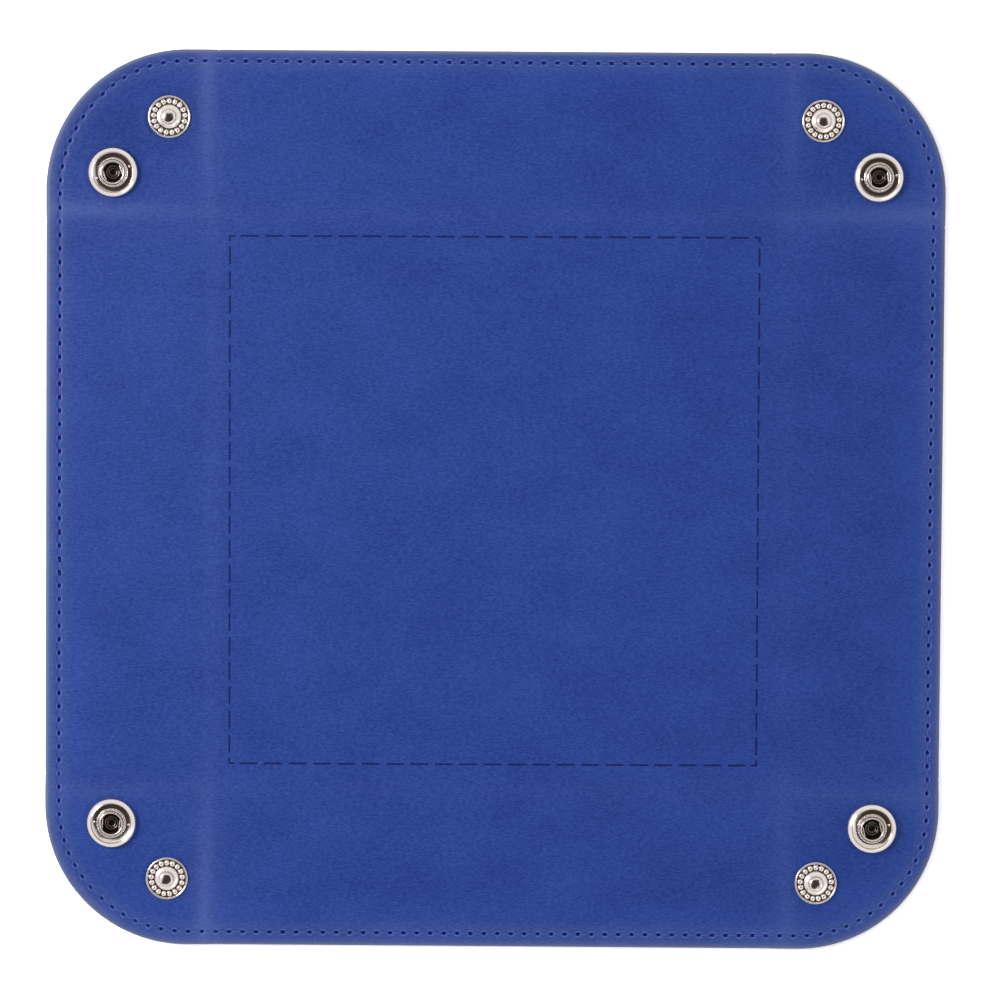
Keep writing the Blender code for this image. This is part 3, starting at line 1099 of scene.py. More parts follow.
@dataclass
class Slab:
    """A closed slab from rings of points: the upper face's rows, the edge's, then the lower face's.

    Attributes:
        name: The mesh's name.
        sharp_angle: Faces that meet at more than this are shaded apart.
        rows: One array of points for each row, all of one length.
        edges: For each row, the vector that is stored as its edge place.
    """

    name: str
    sharp_angle: float = math.radians(48)
    rows: list[np.ndarray] = field(default_factory=list)
    edges: list[np.ndarray] = field(default_factory=list)

    def quads(self) -> np.ndarray:
        """The slab's faces: round through all rows, and a ladder across each end.

        Returns:
            Four vertices for each face.
        """
        count, width = len(self.rows), len(self.rows[0])
        index = np.arange(count * width).reshape(count, width)
        after = np.roll(index, -1, axis=0)
        round_faces = np.stack([index[:, :-1], index[:, 1:], after[:, 1:], after[:, :-1]], -1)
        half = count // 2
        upper, lower = index[:half], index[::-1][:half]
        near = np.stack([upper[:-1, 0], upper[1:, 0], lower[1:, 0], lower[:-1, 0]], -1)
        far = np.stack([upper[:-1, -1], lower[:-1, -1], lower[1:, -1], upper[1:, -1]], -1)
        return np.concatenate([round_faces.reshape(-1, 4), near, far])

    def build(self) -> bpy.types.Mesh:
        """Make the mesh, with its faces outwards and its poles closed.

        Returns:
            The mesh.
        """
        points = np.concatenate(self.rows)
        quads = self.quads()
        if signed_volume(points, quads) < 0:
            quads = quads[:, ::-1]
        mesh = bpy.data.meshes.new(self.name)
        mesh.from_pydata(points.tolist(), [], quads.tolist())
        store_vector(mesh, EDGE_ATTRIBUTE, np.concatenate(self.edges))
        shape = bmesh.new()
        shape.from_mesh(mesh)
        bmesh.ops.remove_doubles(shape, verts=shape.verts[:], dist=MERGE_DISTANCE)
        shape.to_mesh(mesh)
        shape.free()
        store_places(mesh)
        mesh.shade_smooth()
        mesh.set_sharp_from_angle(angle=self.sharp_angle)
        return mesh


def spaced(*stops: float, steps: Sequence[int]) -> np.ndarray:
    """Values through all the stops, with so many even steps in each stretch."""
    parts = [np.linspace(a, b, n, endpoint=False) for a, b, n in zip(stops, stops[1:], steps)]
    return np.concatenate([*parts, [stops[-1]]])


# The leather sheet


@dataclass
class LeatherSheet:
    """The leather sheet with its board: a floor, four walls, four diagonal strips and eight flaps.

    Each stretch is drawn by rows of points. A row is a function from the lean at a seam, which is how
    far the cut there has leaned back, to x and y.

    Attributes:
        plan: Its plan.
        row: Its stitching.
        relief: Its heights.
        material: Its finish.
        steps_per_stitch: Columns of faces in each stitch's length.
        floor_steps: Rows of the floor, beside the strips and between them.
        floor_columns: Columns of the floor.
        bend_steps: Rows within a wall's or a strip's bend.
        wall_steps: Rows from a wall's bend to the rows that follow the outline.
        strip_steps: The same for a strip.
        flap_steps: The same for a flap: the few at its point, and the others.
        flap_point: Where the few end, as a share.
        rim_steps: Rows that follow the outline: inside the stitches, at them and beyond them.
        stitch_inner: From the row of holes inwards, where its close rows of faces start.
        stitch_outer: From the row of holes outwards, where they end.
        seam_lean: How far the cut at a seam leans back, as an angle.
        seam_gap: Half the gap between the cuts at the upper face.
        rim_square: Depth to which the cut stays square at the rim, so that no notch shows there.
        rim_inset: Where the upper face ends and the cut edge starts, in from the outline.
        deep_inset: Where the rows stop following the outline, in from it.
    """

    plan: SheetPlan
    row: StitchLine
    relief: Relief
    material: bpy.types.Material
    steps_per_stitch: int = 12
    floor_steps: tuple[int, int, int] = (3, 96, 3)
    floor_columns: int = 100
    bend_steps: int = 8
    wall_steps: int = 24
    strip_steps: int = 30
    flap_steps: tuple[int, int] = (3, 32)
    flap_point: float = 0.06
    rim_steps: tuple[int, int, int] = (5, 17, 6)
    stitch_inner: float = 1.55 * MM
    stitch_outer: float = 1 * MM
    seam_lean: float = math.radians(23.2)
    seam_gap: float = 0.0005 * MM
    rim_square: float = 0.5 * MM
    rim_inset: float = 0.85 * MM
    deep_inset: float = 8 * MM

    # The cut edge, from the rim down: inset in metres, height as a share, and how raw it looks
    EDGE_SHARES = (
        (0.7 * MM, 0.96, 0.1),
        (0.52 * MM, 0.91, 0.3),
        (0.33 * MM, 0.83, 0.6),
        (0.16 * MM, 0.7, 0.9),
        (0.06 * MM, 0.52, 0.9),
        (0.0, 0.3, 0.5),
        (0.08 * MM, 0.07, 0.3),
        (0.34 * MM, 0.0, 0.1),
    )

    def build(self) -> None:
        """Build every stretch of the sheet, and let the floor ride on its body."""
        self.build_floor()
        for side in Side:
            self.build_wall(side)
        for corner in Corner:
            self.build_strip(corner)
            for flap in Flap:
                self.build_flap(corner, flap)

    def rim_rows(self) -> np.ndarray:
        """Insets of the rows that follow the outline, from the deepest to the rim."""
        near, far = self.row.inset + self.stitch_inner, self.row.inset - self.stitch_outer
        return spaced(self.deep_inset, near, far, self.rim_inset, steps=self.rim_steps)

    def lay(
        self,
        name: str,
        rows: Sequence[Callable[[float], Row]],
        edge: Callable[[float, float], Row] | None,
        nodes: Sequence[str],
    ) -> bpy.types.Object:
        """Make a stretch of leather: its upper rows, its cut edge and its lower rows.

        Args:
            name: The piece's name.
            rows: The upper rows, from the middle outwards.
            edge: A function from an inset and a lean to x and y along the cut edge, if it has one.
            nodes: The nodes that the piece stands for.

        Returns:
            The piece.
        """
        slab = Slab(name)
        for row in rows:
            x, y = row(self.seam_gap)
            top = self.relief.top(x, y)
            self.add_row(slab, x, y, top, 0)
        if edge:
            under = self.relief.bottom(*edge(self.rim_inset, self.seam_gap))
            for inset, height_share, raw in self.EDGE_SHARES:
                z = under + (top - under) * height_share
                x, y = edge(inset, self.lean(float(z[0]), inset))
                self.add_row(slab, x, y, z, raw)
        for row in reversed(rows):
            x, y = row(0)
            height, inset = self.relief.bottom(x, y)[0], self.plan.inset(x, y).min()
            x, y = row(self.lean(float(height), float(inset)))
            self.add_row(slab, x, y, self.relief.bottom(x, y), 0)
        piece = link(name, slab.build())
        piece.data.materials.append(self.material)
        return settle(piece, "leather", *nodes)

    def add_row(self, slab: Slab, x: np.ndarray, y: np.ndarray, z: np.ndarray, raw: float) -> None:
        """Add a row of points, with their distances to a needle hole and to the row, and its rawness.

        Args:
            slab: The slab.
            x: X of the points.
            y: Y of the points.
            z: Z of the points.
            raw: How raw they look, as a share.
        """
        slab.rows.append(np.stack([x, y, z], -1))
        edge = [self.row.from_hole(x, y), self.row.across(x, y), np.full_like(x, raw)]
        slab.edges.append(np.stack(edge, -1))

    def lean(self, height: float, inset: float) -> float:
        """How far the cut at a seam has leaned back, at a height and an inset.

        Args:
            height: Height on the cut.
            inset: In from the outline.

        Returns:
            The lean, in metres.
        """
        on_edge = inset < self.rim_inset - TOLERANCE
        square = self.rim_square if on_edge else 0.0
        return self.seam_gap + max(0.0, self.plan.top - height - square) * math.tan(self.seam_lean)

    def build_floor(self) -> None:
        """The floor: a square whose corners are cut off where the strips start."""
        plan = self.plan
        lines = spaced(-plan.crease, -plan.seam, plan.seam, plan.crease, steps=self.floor_steps)
        share = spaced(-1, 1, steps=(self.floor_columns,))

        def line(y: float, lean: float) -> Row:
            """A row across the floor, shorter beside the strips."""
            return share * (plan.crease - max(0.0, abs(y) - plan.seam)), np.full_like(share, y)

        nodes = [f"floor_{layer}" for layer in LAYERS]
        piece = self.lay("leather_floor", [partial(line, y) for y in lines], None, nodes)
        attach(piece, "floor")

    def build_wall(self, side: Side) -> None:
        """A wall, which meets the floor along its crease.

        Args:
            side: The wall's side.
        """
        plan = self.plan
        share = np.linspace(-1, 1, self.row.wall_count * self.steps_per_stitch + 1)
        foot = plan.half_side - plan.crease
        steps = self.bend_steps, self.wall_steps
        insets = spaced(foot, foot - plan.bend, self.deep_inset, steps=steps)[:-1]

        def edge(inset: float, lean: float) -> Row:
            """A row along the wall."""
            out, along = plan.half_side - inset, share * (plan.seam - lean)
            return spread(side.outward, out, side.sideways, along)

        body = f"wall_{side.label}"
        rows = [partial(edge, inset) for inset in (*insets, *self.rim_rows())]
        piece = self.lay(f"leather_{body}", rows, edge, [f"{body}_{layer}" for layer in LAYERS])
        start = side.outward * plan.crease
        start + side.outward * plan.bend
        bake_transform(piece)

    def build_strip(self, corner: Corner) -> None:
        """The strip on a corner's diagonal, which meets the floor's cut corner.

        Args:
            corner: The strip's corner.
        """
        plan = self.plan
        outward = corner.outward
        across = (corner.value[0].outward - corner.value[1].outward).normalized()
        half = plan.strip_run / math.sqrt(2)
        offsets = np.linspace(-half, half, self.steps_per_stitch + 1)
        foot = (plan.crease + plan.seam) / math.sqrt(2)
        middle = plan.arc_centre * math.sqrt(2)

        def arch(inset: float) -> np.ndarray:
            """How far out along the diagonal a row along the outline lies."""
            return middle + np.sqrt((plan.corner_radius - inset) ** 2 - offsets**2)

        def edge(inset: float, lean: float) -> Row:
            """A row along the outline."""
            return spread(outward, arch(inset), across, offsets)

        def inner(share: float, lean: float) -> Row:
            """A row between the strip's foot and the rows along the outline."""
            return spread(outward, foot + (arch(self.deep_inset) - foot) * share, across, offsets)

        bend_share = plan.bend / (middle + plan.corner_radius - self.deep_inset - foot)
        shares = spaced(0, bend_share, 1, steps=(self.bend_steps, self.strip_steps))[:-1]
        rows = [partial(inner, share) for share in shares]
        rows += [partial(edge, inset) for inset in self.rim_rows()]
        body = f"corner_fold_{corner.label}"
        piece = self.lay(f"leather_strip_{corner.label}", rows, edge, [f"{body}_strip"])
        start = outward * foot
        start + outward * plan.bend
        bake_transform(piece)

    def build_flap(self, corner: Corner, flap: Flap) -> None:
        """A flap, which meets its strip, from its apex at the floor's corner to the edge.

        Args:
            corner: The flap's corner.
            flap: The flap.
        """
        on, beside = flap.directions(corner)

        def edge(inset: float, lean: float) -> Row:
            """A row along the outline."""
            along, out = self.flap_curve(inset, lean)
            return spread(on, out, beside, along)

        def inner(share: float, lean: float) -> Row:
            """A row between the flap's point and the rows along the outline."""
            along, out = self.flap_curve(self.deep_inset, lean)
            first_along, first_out = self.plan.seam + lean, self.plan.crease + lean
            out = first_out + (out - first_out) * share
            return spread(on, out, beside, first_along + (along - first_along) * share)

        body = flap.label(corner)
        shares = spaced(0, self.flap_point, 1, steps=self.flap_steps)[:-1]
        rows = [partial(inner, share) for share in shares]
        rows += [partial(edge, inset) for inset in self.rim_rows()]
        piece = self.lay(f"leather_{body}", rows, edge, [f"{body}_liner", f"{body}_backing"])
        f"corner_fold_{corner.label}"
        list(self.plan.flap_bend(corner, flap))
        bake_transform(piece)

    def flap_curve(self, inset: float, lean: float) -> Row:
        """A flap's row along the outline, from its seam to the strip.

        Args:
            inset: In from the outline.
            lean: How far the seam's end has leaned back.

        Returns:
            Distances sideways and outwards from the tray's middle.
        """
        plan, row = self.plan, self.row
        counts = (row.flap_count - 2) * self.steps_per_stitch, 4 * self.steps_per_stitch
        shares = spaced(0, 1 - 2 / row.flap_count, 1, steps=counts)
        first = plan.seam + lean
        along = first + (row.strip_start - first) * shares
        radius = plan.corner_radius - inset
        turn = np.maximum(along - plan.arc_centre, 0) / row.arc_radius
        turn *= plan.strip_angle(radius) / plan.strip_angle(row.arc_radius)
        straight = np.minimum(along, plan.arc_centre)
        return straight + radius * np.sin(turn), plan.arc_centre + radius * np.cos(turn)


# Geometry Nodes recipes


class Recipe(NodeTree):
    """A Geometry Nodes tree with named inputs, which turns a base mesh into a finished one."""

    def __init__(self, name: str) -> None:
        """Start a tree with a geometry in and out.

        Args:
            name: The tree's name.
        """
        super().__init__(bpy.data.node_groups.new(name, "GeometryNodeTree"))
        for way in ("INPUT", "OUTPUT"):
            self.tree.interface.new_socket("Geometry", in_out=way, socket_type="NodeSocketGeometry")
        self.entry = self.tree.nodes.new("NodeGroupInput")
        self.exit = self.tree.nodes.new("NodeGroupOutput")
        self.identifiers: dict[str, str] = {}

    def size(self, name: str, kind: str = "Float") -> Wire:
        """Add a named input and return it.

        Args:
            name: The input's name.
            kind: Its kind of socket.

        Returns:
            The input's value inside the tree.
        """
        socket = self.tree.interface.new_socket(name, in_out="INPUT", socket_type=f"NodeSocket{kind}")
        self.identifiers[name] = socket.identifier
        return Wire(self, self.entry.outputs[name])

    def geometry(self) -> Wire:
        """The base mesh."""
        return Wire(self, self.entry.outputs["Geometry"])

    def vector(self, x: Wire | float = 0, y: Wire | float = 0, z: Wire | float = 0) -> Wire:
        """A vector from its three parts."""
        return self.node("ShaderNodeCombineXYZ", None, {"X": x, "Y": y, "Z": z})

    def facing(self, direction: Wire) -> Wire:
        """The turn about Z that points X in the direction."""
        settings = {"axis": "X", "pivot_axis": "Z"}
        return self.node("FunctionNodeAlignRotationToVector", settings, {"Vector": direction})

    def run(self) -> tuple[Wire, Wire]:
        """The turn that points X along each base point's run, and the scale that gives its length.

        Returns:
            The turn and the scale.
        """
        settings = {"data_type": "FLOAT_VECTOR"}
        name = {"Name": RUN_ATTRIBUTE}
        run = self.node("GeometryNodeInputNamedAttribute", settings, name, "Attribute")
        length = self.node("ShaderNodeVectorMath", {"operation": "LENGTH"}, {0: run}, "Value")
        return self.facing(run), self.vector(length, 1, 1)

    def unit_line(self) -> Wire:
        """A line along X, 1 long, about the origin."""
        ends = {"Start": (-0.5, 0, 0), "End": (0.5, 0, 0)}
        return self.node("GeometryNodeCurvePrimitiveLine", None, ends)

    def circle(self, sides: int, radius: Wire) -> Wire:
        """A circle of so many sides."""
        inputs = {"Resolution": sides, "Radius": radius}
        return self.node("GeometryNodeCurvePrimitiveCircle", {"mode": "RADIUS"}, inputs)

    def instances(self, points: Wire, shape: Wire, **placing: Wire) -> Wire:
        """The shape on each of the points, with its rotation and scale."""
        inputs = {"Points": points, "Instance": shape, **placing}
        return self.node("GeometryNodeInstanceOnPoints", None, inputs)

    def sweep(self, line: Wire, section: Wire, turn: Wire, scale: Wire) -> None:
        """End the tree with the line on each base point and the section swept along it.

        Args:
            line: The line.
            section: The section.
            turn: The line's turn.
            scale: Its scale.
        """
        rows = self.instances(self.geometry(), line, Rotation=turn, Scale=scale)
        rows = self.node("GeometryNodeRealizeInstances", None, {"Geometry": rows})
        inputs = {"Curve": rows, "Profile Curve": section, "Fill Caps": True}
        self.close(self.node("GeometryNodeCurveToMesh", None, inputs))

    def close(self, result: Wire) -> None:
        """End the tree: realise the instances, shade them smooth and give them the finish.

        Args:
            result: The finished geometry.
        """
        real = self.node("GeometryNodeRealizeInstances", None, {"Geometry": result})
        smooth = self.node("GeometryNodeSetShadeSmooth", None, {"Geometry": real})
        inputs = {"Geometry": smooth, "Material": self.size("Finish", "Material")}
        self.feed(self.exit.inputs[0], self.node("GeometryNodeSetMaterial", None, inputs))

    def make(
        self, name: str, points: Sequence[Vector], runs: Sequence[Vector], values: dict[str, object]
    ) -> bpy.types.Object:
        """Run the tree on a base mesh of loose points.

        Args:
            name: The new piece's name.
            points: The base mesh's points.
            runs: Direction and length of what stands on each point.
            values: The tree's inputs by name.

        Returns:
            A piece with a plain mesh.
        """
        base = bpy.data.meshes.new(f"{name}_base")
        base.from_pydata([tuple(point) for point in points], [], [])
        store_vector(base, RUN_ATTRIBUTE, np.array([tuple(run) for run in runs]))
        carrier = link(base.name, base)
        modifier = carrier.modifiers.new("recipe", "NODES")
        modifier.node_group = self.tree
        for key, value in values.items():
            modifier[self.identifiers[key]] = value
        graph = bpy.context.evaluated_depsgraph_get()
        mesh = bpy.data.meshes.new_from_object(carrier.evaluated_get(graph))
        bpy.data.objects.remove(carrier)
        mesh.name = name
        store_places(mesh)
        return link(name, mesh)


class StitchRecipe(Recipe):
    """Lays one thread loop on each point: it runs along the point's direction and dips at its ends."""

    SEGMENTS = 8
    SIDES = 6

    def __init__(self) -> None:
        """Build the tree."""
        super().__init__("stitches")
        radius, dip = self.size("Thread Radius"), self.size("Dip")
        wander, seed = self.size("Wander"), self.size("Seed", "Int")
        inputs = {"Curve": self.unit_line(), "Count": self.SEGMENTS + 1}
        line = self.node("GeometryNodeResampleCurve", None, inputs)
        along = self.node("GeometryNodeSplineParameter", output="Factor")
        offset = self.vector(z=abs(along * 2 - 1) ** 4 * dip * -1)
        line = self.node("GeometryNodeSetPosition", None, {"Geometry": line, "Offset": offset})
        turn, scale = self.run()
        inputs = {"Min": wander * -1, "Max": wander, "Seed": seed}
        twist = self.node("FunctionNodeRandomValue", {"data_type": "FLOAT"}, inputs, "Value")
        inputs = {0: turn, 1: self.vector(z=twist)}
        turn = self.node("FunctionNodeRotateRotation", {"rotation_space": "LOCAL"}, inputs)
        self.sweep(line, self.circle(self.SIDES, radius), turn, scale)


class DashRecipe(Recipe):
    """Lays one flat bar with a round section on each point, along the point's direction."""

    SIDES = 12

    def __init__(self) -> None:
        """Build the tree."""
        super().__init__("dashes")
        width, height = self.size("Width"), self.size("Height")
        turn, scale = self.run()
        flat = self.vector(1, height / width * 2, 1)
        inputs = {"Geometry": self.circle(self.SIDES, width / 2), "Scale": flat}
        section = self.node("GeometryNodeTransform", None, inputs)
        self.sweep(self.unit_line(), section, turn, scale)


class BeadRecipe(Recipe):
    """Sets a ring of domed beads round each point."""

    SEGMENTS = 16
    RINGS = 10

    def __init__(self) -> None:
        """Build the tree."""
        super().__init__("bead_ring")
        count, ring = self.size("Count", "Int"), self.size("Ring Radius")
        size, start = self.size("Bead Size", "Vector"), self.size("Start")
        angle = self.node("GeometryNodeInputIndex") / count * (2 * math.pi) + start
        inputs = {"Vector": self.vector(ring), "Angle": angle}
        place = self.node("ShaderNodeVectorRotate", {"rotation_type": "Z_AXIS"}, inputs)
        points = self.node("GeometryNodePoints", None, {"Count": count, "Position": place})
        inputs = {"Segments": self.SEGMENTS, "Rings": self.RINGS, "Radius": 0.5}
        bead = self.node("GeometryNodeMeshUVSphere", None, inputs)
        outwards = self.facing(self.node("GeometryNodeInputPosition"))
        beads = self.instances(points, bead, Rotation=outwards, Scale=size)
        self.close(self.instances(self.geometry(), beads))


# Stitching


@dataclass
class Stitching:
    """The thread round the edge, on the upper and the lower face.

    Attributes:
        plan: The sheet.
        row: Where its needle holes are.
        relief: The sheet's heights.
        material: The thread's finish.
        recipe: The recipe for stitches.
        thread_radius: Half the thread's thickness.
        dip: How deep a stitch's ends go into their holes.
        proud: How far the thread's middle lies above the leather.
        under_proud: How far it lies below the lower face, in thread radii.
        wander: How far a stitch may be turned out of line.
        bare: Length of a hole that no thread covers.
        seam_bare: How many times longer it is below a seam.
        beside_groove: From a stitch inwards to where the lower face is out of its groove.
        back_tack: From and to, along the left side, where the row was sewn twice.
        back_tack_shift: How far further in the second stitches lie.
        loose_ends: Places along the left side where a thread's end was melted down.
        drop_place: Where a drop lies beside the row and above the upper face.
        drop_run: A drop's direction and length.
        drop_sizes: The recipe's sizes for a drop.
    """

    plan: SheetPlan
    row: StitchLine
    relief: Relief
    material: bpy.types.Material
    recipe: Recipe
    thread_radius: float = 0.19 * MM
    dip: float = 0.6 * MM
    proud: float = 0.03 * MM
    under_proud: float = 1.05
    wander: float = math.radians(2.5)
    bare: float = 1.05 * MM
    seam_bare: float = 2.8
    beside_groove: float = 2 * MM
    back_tack: tuple[float, float] = (-19.4 * MM, 16.3 * MM)
    back_tack_shift: float = 0.3 * MM
    loose_ends: tuple[float, ...] = (-8.8 * MM, -15.9 * MM, -19.3 * MM)
    drop_place: tuple[float, float] = (0.1 * MM, -0.08 * MM)
    drop_run: Triple = (0.1 * MM, 0.5 * MM, 0)
    drop_sizes: tuple[tuple[str, float], ...] = (
        ("Thread Radius", 0.44 * MM), ("Dip", 0.3 * MM), ("Wander", 0.5), ("Seed", 3)
    )

    CORNER_SEEDS = 10

    def build(self) -> None:
        """Sew every wall, strip and flap."""
        holes = [self.row.wall_hole(index) for index in range(self.row.wall_count + 1)]
        for seed, side in enumerate(Side):
            places = [self.row.sewn(side.outward * out + side.sideways * along) for along, out in holes]
            pairs = list(zip(places, places[1:]))
            if side is Side.LEFT:
                pairs += self.second_pass(pairs)
                self.melt_ends(places[0].x)
            piece = self.sew(f"thread_wall_{side.label}", pairs, seed)
            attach(piece, f"wall_{side.label}")
        for seed, corner in enumerate(Corner, self.CORNER_SEEDS):
            self.sew_corner(corner, seed)

    def second_pass(self, pairs: Sequence[tuple[Vector, Vector]]) -> list[tuple[Vector, Vector]]:
        """The stitches that were sewn over the first ones, a little to the side.

        Args:
            pairs: The holes at each first stitch's ends.

        Returns:
            The same for the second ones.
        """
        low, high = self.back_tack
        shift = Vector((self.back_tack_shift, 0, 0))
        return [(start + shift, end + shift) for start, end in pairs if low < start.y < high]

    def melt_ends(self, x: float) -> None:
        """The small dark drops where the thread was cut and melted.

        Args:
            x: Where the left row lies.
        """
        melted = ThreadFinish("melted_thread", srgb(30, 46, 104), srgb(10, 26, 80), 0.1).build()
        beside, above = self.drop_place
        points = [Vector((x + beside, y, self.plan.top + above)) for y in self.loose_ends]
        values = {**dict(self.drop_sizes), "Finish": melted}
        piece = self.recipe.make("thread_ends", points, [self.drop_run] * len(points), values)
        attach(settle(piece, "leather"), "wall_left")

    def sew_corner(self, corner: Corner, seed: int) -> None:
        """Sew a corner's two flaps and the one stitch across its strip.

        Args:
            corner: The corner.
            seed: Seed of the small differences between stitches.
        """
        strip = f"corner_fold_{corner.label}"
        holes = [self.row.flap_hole(index) for index in range(self.row.flap_count + 1)]
        ends = []
        for flap in Flap:
            on, beside = flap.directions(corner)
            places = [self.row.sewn(on * out + beside * along) for along, out in holes]
            ends.append(places[-1])
            body = flap.label(corner)
            piece = self.sew(f"thread_{body}", list(zip(places, places[1:])), seed)
            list(self.plan.flap_bend(corner, flap))
            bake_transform(piece)
        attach(self.sew(f"thread_strip_{corner.label}", [tuple(ends)], seed), strip)

    def sew(self, name: str, pairs: Sequence[tuple[Vector, Vector]], seed: int) -> bpy.types.Object:
        """Lay a thread between each pair of holes, on both faces of the sheet.

        Args:
            name: The piece's name.
            pairs: The holes at each stitch's two ends.
            seed: Seed of the small differences between stitches.

        Returns:
            The piece.
        """
        points, runs, under, under_runs = [], [], [], []
        for start, end in pairs:
            bare = (end - start).normalized() * self.bare / 2
            middle = (start + end) / 2
            top = float(self.relief.top(np.array([middle.x]), np.array([middle.y]))[0])
            points.append(Vector((middle.x, middle.y, top + self.proud)))
            runs.append(end - start - bare * 2)
            start, end = start + bare * self.seam_room(start), end - bare * self.seam_room(end)
            middle = (start + end) / 2
            depth = self.under_proud * self.thread_radius + self.under_height(middle)
            under.append(Vector((middle.x, middle.y, depth)))
            under_runs.append(end - start)
        sizes = {"Thread Radius": self.thread_radius, "Wander": self.wander, "Seed": seed}
        sizes["Finish"] = self.material
        upper = self.recipe.make(name, points, runs, {**sizes, "Dip": self.dip})
        lower = self.recipe.make(f"{name}_under", under, under_runs, {**sizes, "Dip": -self.dip})
        joined = bmesh.new()
        joined.from_mesh(upper.data)
        joined.from_mesh(lower.data)
        joined.to_mesh(upper.data)
        joined.free()
        bpy.data.objects.remove(lower)
        return settle(upper, "leather")

    def seam_room(self, hole: Vector) -> float:
        """How much shorter the lower thread is at a hole: more at a seam, whose cut leans back."""
        at_seam = abs(min(abs(hole.x), abs(hole.y)) - self.plan.seam) < TOLERANCE
        return self.seam_bare if at_seam else 1.0

    def under_height(self, point: Vector) -> float:
        """Height of the lower face beside the stitch's groove."""
        inner = point * (1 - self.beside_groove / point.length)
        return float(self.relief.bottom(np.array([inner.x]), np.array([inner.y]))[0])


# The dashed square


@dataclass
class DashedSquare:
    """The square of dashes printed on the floor, with a small angle at each of its corners.

    Attributes:
        plan: The sheet.
        material: The ink.
        half_side: From the middle to a side of the square.
        turn: How far the square was turned on the floor when it was printed.
        dash: Length of a dash.
        pitch: From one dash to the next.
        count: Dashes on a side.
        leg: Length of each leg of a corner's angle.
        width: Width of the line.
        height: How far the ink stands proud.
    """

    plan: SheetPlan
    material: bpy.types.Material
    half_side: float = 67.4 * MM
    turn: float = math.radians(0.16)
    dash: float = 4.55 * MM
    pitch: float = 6.24 * MM
    count: int = 21
    leg: float = 1.2 * MM
    width: float = 0.48 * MM
    height: float = 0.03 * MM

    def build(self) -> None:
        """Print the square on the floor."""
        points, runs = [], []
        for side in Side:
            middle = side.outward * self.half_side + UP * self.plan.top
            for index in range(self.count):
                points.append(middle + side.sideways * (index - (self.count - 1) / 2) * self.pitch)
                runs.append(side.sideways * self.dash)
            for end in (-1, 1):
                points.append(middle + side.sideways * end * (self.half_side - self.leg / 2))
                runs.append(side.sideways * (self.leg + self.width / 2))
        turn = Matrix.Rotation(self.turn, 3, "Z")
        points, runs = [turn @ point for point in points], [turn @ run for run in runs]
        sizes = {"Width": self.width, "Height": self.height, "Finish": self.material}
        piece = DashRecipe().make("dashed_square", points, runs, sizes)
        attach(settle(piece, "leather"), "floor")


# Press studs


def arc(centre: tuple[float, float], radius: float, start: float, end: float, steps: int) -> list:
    """Points of a profile along an arc, in millimetres and degrees."""
    angles = [math.radians(start + (end - start) * step / steps) for step in range(steps + 1)]
    return [(centre[0] + radius * math.cos(a), centre[1] + radius * math.sin(a)) for a in angles]


def in_span(value: float, low: float, high: float) -> float:
    """1 between the two limits and 0 outside them."""
    return 1.0 if low <= value <= high else 0.0


def node_centre(node: str) -> Vector:
    """The middle of a node in plan, at the height of its lowest point."""
    low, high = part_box(node)
    return Vector(((low.x + high.x) / 2, (low.y + high.y) / 2, low.z))


@dataclass
class TurnedPart:
    """A metal part turned about its axis, which stands for a node of the frame.

    Attributes:
        kind: The node's name, before its corner's.
        profile: Its closed outline as radii and heights, in millimetres.
        recess: How much painted shade darkens each radius and height, from 0 to 1.
        steps: Facets round the axis.
        warp: How much a point is raised, by its radius, height and direction.
        sharp_angle: Faces that meet at more than this are shaded apart.
    """

    kind: str
    profile: Sequence[tuple[float, float]]
    recess: Callable[[float, float], float]
    steps: int
    warp: Callable[[float, float, float], float] | None = None
    sharp_angle: float = math.radians(50)

    def mesh(self, name: str) -> bpy.types.Mesh:
        """Turn the part about the Z axis.

        Args:
            name: The mesh's name.

        Returns:
            The mesh, with its painted shade stored.
        """
        shape = bmesh.new()
        ring = [shape.verts.new((radius * MM, 0, height * MM)) for radius, height in self.profile]
        pairs = zip(ring, ring[1:] + ring[:1])
        edges = [shape.edges.new(pair) for pair in pairs if pair[0].co.x + pair[1].co.x > 0]
        whole_turn = {"cent": (0, 0, 0), "axis": UP, "angle": 2 * math.pi, "steps": self.steps}
        bmesh.ops.spin(shape, geom=ring + edges, use_merge=True, **whole_turn)
        bmesh.ops.remove_doubles(shape, verts=shape.verts[:], dist=MERGE_DISTANCE)
        bmesh.ops.recalc_face_normals(shape, faces=shape.faces[:])
        mesh = bpy.data.meshes.new(name)
        shape.to_mesh(mesh)
        shape.free()
        # Painted shade: how much each point is darkened in the recesses
        worn = [self.recess(math.hypot(v.co.x, v.co.y) / MM, v.co.z / MM) for v in mesh.vertices]
        store_vector(mesh, RECESS_SHADE_ATTRIBUTE, np.repeat(np.array(worn)[:, None], 3, axis=1))
        return mesh

    def build(self, corner: Corner, body: str, material: bpy.types.Material) -> None:
        """Make the part at its node's place and let it ride on the body.

        Args:
            corner: The part's corner.
            body: The body that carries it.
            material: Its finish.
        """
        node = f"{self.kind}_{corner.label}"
        mesh = self.mesh(f"nickel_{node}")
        for point in mesh.vertices if self.warp else ():
            x, y, z = point.co / MM
            point.co.z += self.warp(math.hypot(x, y), z, math.atan2(y, x)) * MM
        mesh.transform(Matrix.Translation(node_centre(node)))
        mesh.shade_smooth()
        mesh.set_sharp_from_angle(angle=self.sharp_angle)
        mesh.materials.append(material)
        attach(settle(link(mesh.name, mesh), "nickel", node), body)


